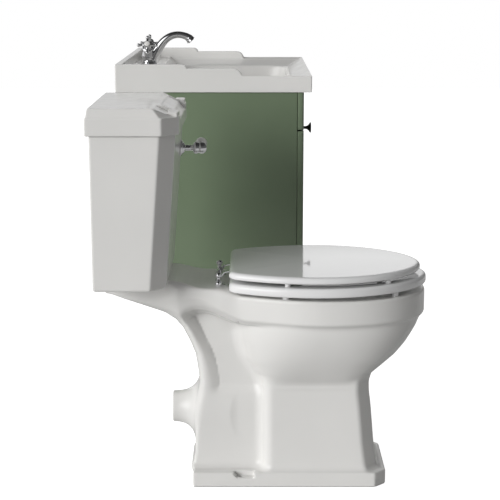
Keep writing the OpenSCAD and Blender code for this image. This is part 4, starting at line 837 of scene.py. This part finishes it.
# hinge posts: stud, foot, stem, neck and ball, with a knuckle round the pin
POST_X, HINGE_U, HINGE_Z = 63.0, 257.0, 433.0
post = [(0, 373), (4, 373), (4, 415.1), (12.9, 415.1), (13.2, 416.5), (13, 419), (11, 420.2), (7, 421),
        (5.4, 422.4), (4.9, 425), (5.2, 430), (5.2, 436), (4.4, 439.5), (3.4, 441), (4.6, 441.9),
        (4.6, 442.8), (3.4, 443.6), (5, 444.4), (6.3, 446.3), (6.7, 448.6), (6.3, 450.9), (4.8, 453),
        (2.6, 454.2), (0, 454.6)]
knuckle = [(3.7, -5.9), (6.2, -5.9), (7, -5.1), (7, 5.1), (6.2, 5.9), (3.7, 5.9)]
shape = Shape()
for side in (-1, 1):
    shape.add(*lathe(post, (side * POST_X, HINGE_U, 0.0), (0, 0, 1), 40))
    shape.add(*lathe(knuckle, (side * POST_X, HINGE_U, HINGE_Z), (1, 0, 0), 40))
shape.make("hinge_posts", "toilet", CHROME, "fixed", "chrome_plate", ["hinge_pillars"], 40)


# Tap

TAP_TILT = math.radians(33)
TAP_REACH = 50 / math.cos(TAP_TILT)
TAP_ARMS = TAP + [0, 0, 23]
UP = (0, 0, 1)


def tap_axis(side):
    """Direction of the arm to a handle, from the tap's middle."""
    return np.array([side * math.cos(TAP_TILT), 0, math.sin(TAP_TILT)])


core = [(0, 0.05), (23.4, 0.05), (23.4, 2.6), (22.6, 4.2), (20.6, 5.2), (20.2, 6.4), (18.8, 9), (17.2, 13),
        (17.2, 18), (18.6, 22), (18.6, 25), (17.4, 30), (16.6, 34), (14.2, 39), (10.6, 43.4), (7, 45.6),
        (0, 46.4)]
shank = [(0, -71.4), (15.2, -71.4), (16, -70.4), (16, 0.5), (0, 0.5)]
r = TAP_REACH
branch = [(0, 2), (13.2, 2), (12.4, 10), (11.2, 17), (11.0, r - 24), (12, r - 19.5), (13.8, r - 17.4),
          (14.3, r - 15.6), (13.8, r - 13.8), (12, r - 12.4), (9.6, r - 11.4), (9.4, r - 8.6), (4.9, r - 8.5),
          (4.9, r + 1.8), (0, r + 1.8)]
shape = Shape().add(*lathe(core, TAP, UP, 64))
shape.add(*lathe(shank, TAP, UP, 48))
for side in (-1, 1):
    shape.add(*lathe(branch, TAP_ARMS, tap_axis(side), 48))
shape.make("tap_base", "vanity", CHROME, "fixed", "chrome_plate", ["tap_body"], 40)

# swan neck, which narrows upwards and flares to a bead at its mouth
path = spline([(66, 838.5), (75.2, 856.1), (86.5, 874.5), (100.1, 889.7), (115.9, 899.3), (132.8, 902.5),
               (148.7, 900.1), (160, 894.9), (167.3, 887.3)], 56)
path = np.column_stack([np.zeros(len(path)), path])
share = np.linspace(0, 1, len(path))
radii = 8 * (1 + 1.15 * (1 - share) ** 3.2 + 0.5 * share ** 6)
radii = radii + 0.5 * np.exp(-((share - 0.9) / 0.018) ** 2)
shape = Shape().add(*tube(path, radii, 40, 0.92))
shape.make("spout", "vanity", CHROME, "fixed", "chrome_plate", ["tap_spout"], 50)

HANDLE_HUB = [(5.1, -7.9), (8.6, -7.9), (9.2, -6.8), (9.4, -5.2), (8.4, -3.2), (7.6, -1), (7.8, 1.4),
              (9, 3.2), (9.6, 5), (9.5, 7.2), (8.8, 8), (7.7, 8.1), (7.7, 6.2), (0, 6.1)]
HANDLE_ARM = [(0, 5), (4.4, 6.5), (4.1, 9), (3.3, 12), (2.9, 14.5), (3.1, 16.6), (4.1, 17.4), (4.1, 18.2),
              (3.1, 18.8)]
HANDLE_ARM += [(4.6 * math.cos(t), 22.5 + 4.6 * math.sin(t)) for t in np.linspace(-0.85, math.pi / 2, 10)]
HANDLE_DISC = [(0, 6.2), (7.2, 6.2), (7.5, 6.6), (7.5, 8), (6.9, 9), (5, 9.7), (2.5, 10.1), (0, 10.2)]


def cross_handle(side, body):
    """Cross handle with four arms and a white disc, from the body's name hot_tap or cold_tap."""
    axis = tap_axis(side)
    centre = TAP_ARMS + axis * TAP_REACH
    shape = Shape().add(*lathe(HANDLE_HUB, centre, axis, 48))
    a, b, _ = basis(axis)
    for turn in range(4):
        d = a * math.cos(turn * math.pi / 2) + b * math.sin(turn * math.pi / 2)
        shape.add(*lathe(HANDLE_ARM, centre, d, 28))
    kind = body.split("_")[0]
    shape.make(kind + "_cross", "vanity", CHROME, body, "chrome_plate", [kind + "_handle"], 38)
    disc = Shape().add(*lathe(HANDLE_DISC, centre, axis, 40))
    disc.make(kind + "_disc", "vanity", CERAMIC, body, "white_ceramic", [kind + "_index"], 40)


cross_handle(-1, "hot_tap")
cross_handle(1, "cold_tap")


# Flush lever

LEVER = np.array([115.0, 0.0, 692.0])
ALONG_U, ALONG_X = (0, 1, 0), (1, 0, 0)
LEVER_HUB = LEVER + [0, 199, 0]
LEVER_ARM = LEVER_HUB + [0, 15, 0]
hub = [(5, -69), (5, -17), (6.5, -16.4), (6.3, -9), (5.9, -3), (6.6, 0), (8.4, 0.6), (11.4, 2), (12.8, 4.4),
       (13, 8), (12.2, 11), (11.4, 13), (12.2, 15), (13, 18), (12.6, 22.5), (10.6, 26.6), (7, 29.2), (0, 30)]
arm = [(0, 2), (7.6, 6), (7, 12), (5.2, 18), (4.2, 24), (3.9, 34), (4.4, 42), (6.4, 47), (7.6, 50),
       (7.8, 52.5), (7.2, 55), (5.6, 56), (2.9, 56.1), (2.9, 94), (0, 94)]
grip = [(3.1, 56.3), (7.6, 56.3), (9.4, 59), (11.6, 64), (13.2, 71), (13.5, 78), (12.9, 87), (11.2, 96),
        (8.8, 103), (6, 108), (3, 111), (0, 112)]
shape = Shape().add(*lathe(hub, LEVER_HUB, ALONG_U, 56))
shape.add(*lathe(arm, LEVER_ARM, ALONG_X, 40))
shape.make("lever_handle", "toilet", CHROME, "flush_lever_body", "chrome_plate", ["flush_lever"], 45)
shape = Shape().add(*lathe(grip, LEVER_ARM, ALONG_X, 48))
shape.make("lever_grip", "toilet", CERAMIC, "flush_lever_body", "white_ceramic", ["lever_ceramic_handle"], 50)

# the rose lies on the cistern's front, which leans
FRONT_LEAN = 0.0711
rose = [(5.1, -12), (16.5, -1.2), (18.2, 0.3), (18.4, 1.6), (17.4, 3), (14.8, 4.6), (13.4, 5.4), (12.8, 6.6),
        (9.6, 8.4), (9, 9.4), (5.1, 9.6)]
shape = Shape().add(*lathe(rose, LEVER + [0, 171.9, 0], (0, 1, -FRONT_LEAN), 56))
shape.make("lever_plate", "toilet", CHROME, "fixed", "chrome_plate", ["lever_rose"], 40)


# Cabinet and drawer

# half the width, the front's face, the carcass's front edge, the lower edge, and the top under the basin
HALF, FRONT, CARCASS, LOW, SLAB = 345.0, 451.5, 435.5, 335.0, float(BASIN_LOW)
BOARD_T, FASCIA_H, FRONT_GAP = 16, 92, 4


def green_board(name, low, high, body, replaces, bevel=1.2):
    """Painted board with its edges broken."""
    points, faces = block(low, high, bevel)
    make(name, points, faces, "vanity", GREEN, body, replaces, sharp=35)


green_board("left_side", (-HALF, 0, LOW), (-HALF + BOARD_T, CARCASS, SLAB), "fixed", ["cabinet_left_side"])
green_board("right_side", (HALF - BOARD_T, 0, LOW), (HALF, CARCASS, SLAB), "fixed", ["cabinet_right_side"])


def front_profile(inner):
    """Section of a front board from its outer edge, which is rounded, to the line x = inner."""
    pts = [(inner, CARCASS + 0.8)]
    pts += [(HALF - 3 + 3 * math.sin(a), CARCASS + 3.8 - 3 * math.cos(a))
            for a in np.radians(np.arange(0, 91, 15))]
    pts += [(HALF - 6 + 6 * math.cos(a), FRONT - 6 + 6 * math.sin(a))
            for a in np.radians(np.arange(0, 91, 10))]
    return pts + [(inner, FRONT)]


right = front_profile(0.0)[1:-1]
points, faces = extruded(right + [(-x, u) for x, u in right[::-1]], SLAB - FASCIA_H, SLAB, 2)
make("top_fascia", points, faces, "vanity", GREEN, "fixed", ["fascia"], sharp=32)

# drawer front: two stiles and two rails with a moulded inner edge round a sunk panel
top_z, low_z, win = SLAB - FASCIA_H - FRONT_GAP, LOW, 66.0
shape = Shape()
for side in (-1, 1):
    outline = [(x * side, u) for x, u in front_profile(HALF - win)]
    shape.add(*extruded(outline[::side], low_z, top_z, 2))
for a, b in ((low_z, low_z + win), (top_z - win, top_z)):
    shape.add(*block((-HALF + win - 0.4, CARCASS + 1.1, a + 0.1),
                     (HALF - win + 0.4, FRONT - 0.15, b - 0.1), 1.2))
wx, za, zb = HALF - win, low_z + win, top_z - win
loops = []
for d, deep in [(0, 0), (0, 1.4), (2.2, 2.6), (3.4, 5.0), (6.0, 5.6)]:
    u = FRONT - 0.4 - deep
    loops.append([(-wx + d, u, za + d), (wx - d, u, za + d), (wx - d, u, zb - d), (-wx + d, u, zb - d)])
points, faces = loft(loops, False, False)
shape.add(points, [f[::-1] for f in faces])
shape.make("drawer_frame", "vanity", GREEN, "drawer", "green_paint", ["drawer_front_frame"], 30)
points, faces = block((-wx - 7.8, CARCASS + 1.1, za - 7.8), (wx + 7.8, FRONT - 6.05, zb + 7.8), 0.8)
make("drawer_panel", points, faces, "vanity", GREEN, "drawer", ["drawer_front_panel"], 35)

knob = [(0, 0.05), (8.4, 0.05), (8.5, 1.4), (7.6, 2.8), (5.4, 4.2), (4.2, 7), (3.7, 11), (3.8, 17), (5, 21.4),
        (8.4, 25.4), (12.4, 27.6), (13.9, 29), (14, 29.8), (13.2, 31), (10.8, 31.7), (6, 31.95), (0, 32)]
KNOB_Z = 659
shape = Shape().add(*lathe(knob, (0, FRONT, KNOB_Z), ALONG_U, 56))
shape.make("knob", "vanity", KNOB, "drawer", "black_knob", ["drawer_knob"], 45)


# Floor, light, camera

def studio_world():
    """White to the camera, with one light for what shines and another for what is matt."""
    world = bpy.data.worlds.new("studio")
    bpy.context.scene.world = world
    world.use_nodes = True
    nodes, links = world.node_tree.nodes, world.node_tree.links
    nodes.clear()
    out = nodes.new("ShaderNodeOutputWorld")
    coords = nodes.new("ShaderNodeTexCoord").outputs["Generated"]
    axes = nodes.new("ShaderNodeSeparateXYZ")
    links.new(coords, axes.inputs[0])

    def span(value, a, b, c, d):
        """c where the value is a or less, d where it is b or more, smooth between."""
        r = nodes.new("ShaderNodeMapRange")
        r.interpolation_type = "SMOOTHSTEP"
        for key, v in zip(("From Min", "From Max", "To Min", "To Max"), (a, b, c, d)):
            r.inputs[key].default_value = v
        links.new(value, r.inputs["Value"])
        return r.outputs["Result"]

    def product(first, *rest):
        for value in rest:
            first = math_node(nodes, links, "MULTIPLY", first, value)
        return first

    def greatest(first, *rest):
        for value in rest:
            first = math_node(nodes, links, "MAXIMUM", first, value)
        return first

    x, y, z = (axes.outputs[name] for name in "XYZ")
    # what shiny surfaces see: a white horizon behind and beside, a soft box, dark above and in front
    low = span(z, 0.28, 0.52, 1, 0)
    behind = product(span(x, 0.55, 0.85, 0, 1.0), low, span(z, 0.06, 0.2, 0.60, 1.1),
                     span(y, -0.40, -0.10, 0, 1))
    beside = product(span(y, 0.35, 0.8, 0, 0.75), low)
    towards_box = nodes.new("ShaderNodeVectorMath")
    towards_box.operation = "DOT_PRODUCT"
    towards_box.inputs[1].default_value = Vector((-1.0, 1.05, 0.42)).normalized()
    links.new(coords, towards_box.inputs[0])
    softbox = span(towards_box.outputs["Value"], 0.86, 0.94, 0, 2.6)
    mirror = math_node(nodes, links, "ADD", greatest(behind, beside, softbox), span(z, 0.2, 0.9, 0.13, 0.04))
    # what matt surfaces get: a dim room, a little brighter above and towards the wall
    dim = math_node(nodes, links, "ADD", span(z, -0.1, 0.9, 0.09, 0.34), span(y, -0.9, 0.8, -0.06, 0.20))
    path = nodes.new("ShaderNodeLightPath")
    shiny = greatest(path.outputs["Is Glossy Ray"], path.outputs["Is Transmission Ray"])
    room = nodes.new("ShaderNodeBackground")
    links.new(mixed(nodes, links, "ShaderNodeMix", shiny, dim, mirror), room.inputs["Strength"])
    white = nodes.new("ShaderNodeBackground")
    white.inputs["Strength"].default_value = 1.0
    white.inputs["Color"].default_value = (1, 1, 1, 1)
    seen = mixed(nodes, links, "ShaderNodeMixShader", path.outputs["Is Camera Ray"],
                 room.outputs[0], white.outputs[0])
    links.new(seen, out.inputs["Surface"])


studio_world()


def pale_floor():
    """Floor that shows white to the camera but for the shadow, and little in what shines."""
    mesh = bpy.data.meshes.new("floor")
    reach, level = 9.0, -0.0005
    corners = [(-reach, -reach), (reach, -reach), (reach, reach), (-reach, reach)]
    mesh.from_pydata([(x, y, level) for x, y in corners], [], [(0, 1, 2, 3)])
    o = bpy.data.objects.new("floor", mesh)
    bpy.context.scene.collection.objects.link(o)
    m, nodes, links, s = new_material("pale_floor")
    co = object_coords(nodes)
    tint = [(0.3, (0.56, 0.56, 0.555)), (0.7, (0.58, 0.58, 0.575))]
    links.new(colour_ramp(nodes, links, noise(nodes, links, co, 3, 2), tint), s.inputs["Base Color"])
    s.inputs["Roughness"].default_value = 0.9
    s.inputs["Specular IOR Level"].default_value = 0.0
    glow = nodes.new("ShaderNodeEmission")
    glow.inputs["Strength"].default_value = 0.9
    both = nodes.new("ShaderNodeAddShader")
    links.new(s.outputs[0], both.inputs[0])
    links.new(glow.outputs[0], both.inputs[1])
    path = nodes.new("ShaderNodeLightPath")
    shiny = math_node(nodes, links, "MAXIMUM", path.outputs["Is Glossy Ray"],
                      path.outputs["Is Transmission Ray"])
    faint = math_node(nodes, links, "MULTIPLY", shiny, 0.15)
    share = math_node(nodes, links, "MAXIMUM", path.outputs["Is Camera Ray"], faint)
    seen = mixed(nodes, links, "ShaderNodeMixShader", share, s.outputs[0], both.outputs[0])
    out = next(n for n in nodes if n.type == "OUTPUT_MATERIAL")
    links.new(seen, out.inputs[0])
    mesh.materials.append(m)


pale_floor()


def sun(name, energy, spread_degrees, direction):
    """Sun that shines along the direction and has no image in what shines."""
    data = bpy.data.lights.new(name, "SUN")
    data.energy = energy
    data.angle = math.radians(spread_degrees)
    lamp = bpy.data.objects.new(name, data)
    bpy.context.scene.collection.objects.link(lamp)
    lamp.rotation_mode = "QUATERNION"
    lamp.rotation_quaternion = Vector(direction).to_track_quat("-Z", "Y")
    lamp.visible_glossy = False


sun("key", 2.5, 30, (1.0, -1.12, -0.40))
sun("fill", 1.6, 40, (-0.88, 0.45, -0.06))

camera_data = bpy.data.cameras.new("camera")
camera = bpy.data.objects.new("camera", camera_data)
bpy.context.scene.collection.objects.link(camera)
camera_data.lens = 100
camera_data.sensor_width = 36
camera_data.clip_start, camera_data.clip_end = 0.1, 100
pitch, yaw = 0.20213, -0.00208
aim = Vector((math.cos(pitch) * math.cos(yaw), -math.cos(pitch) * math.sin(yaw), -math.sin(pitch)))
camera.location = (-3.3582, 0.019, 1.080)
camera.rotation_mode = "QUATERNION"
camera.rotation_quaternion = aim.to_track_quat("-Z", "Y")
bpy.context.scene.camera = camera

view = bpy.context.scene.view_settings
view.view_transform = "Standard"
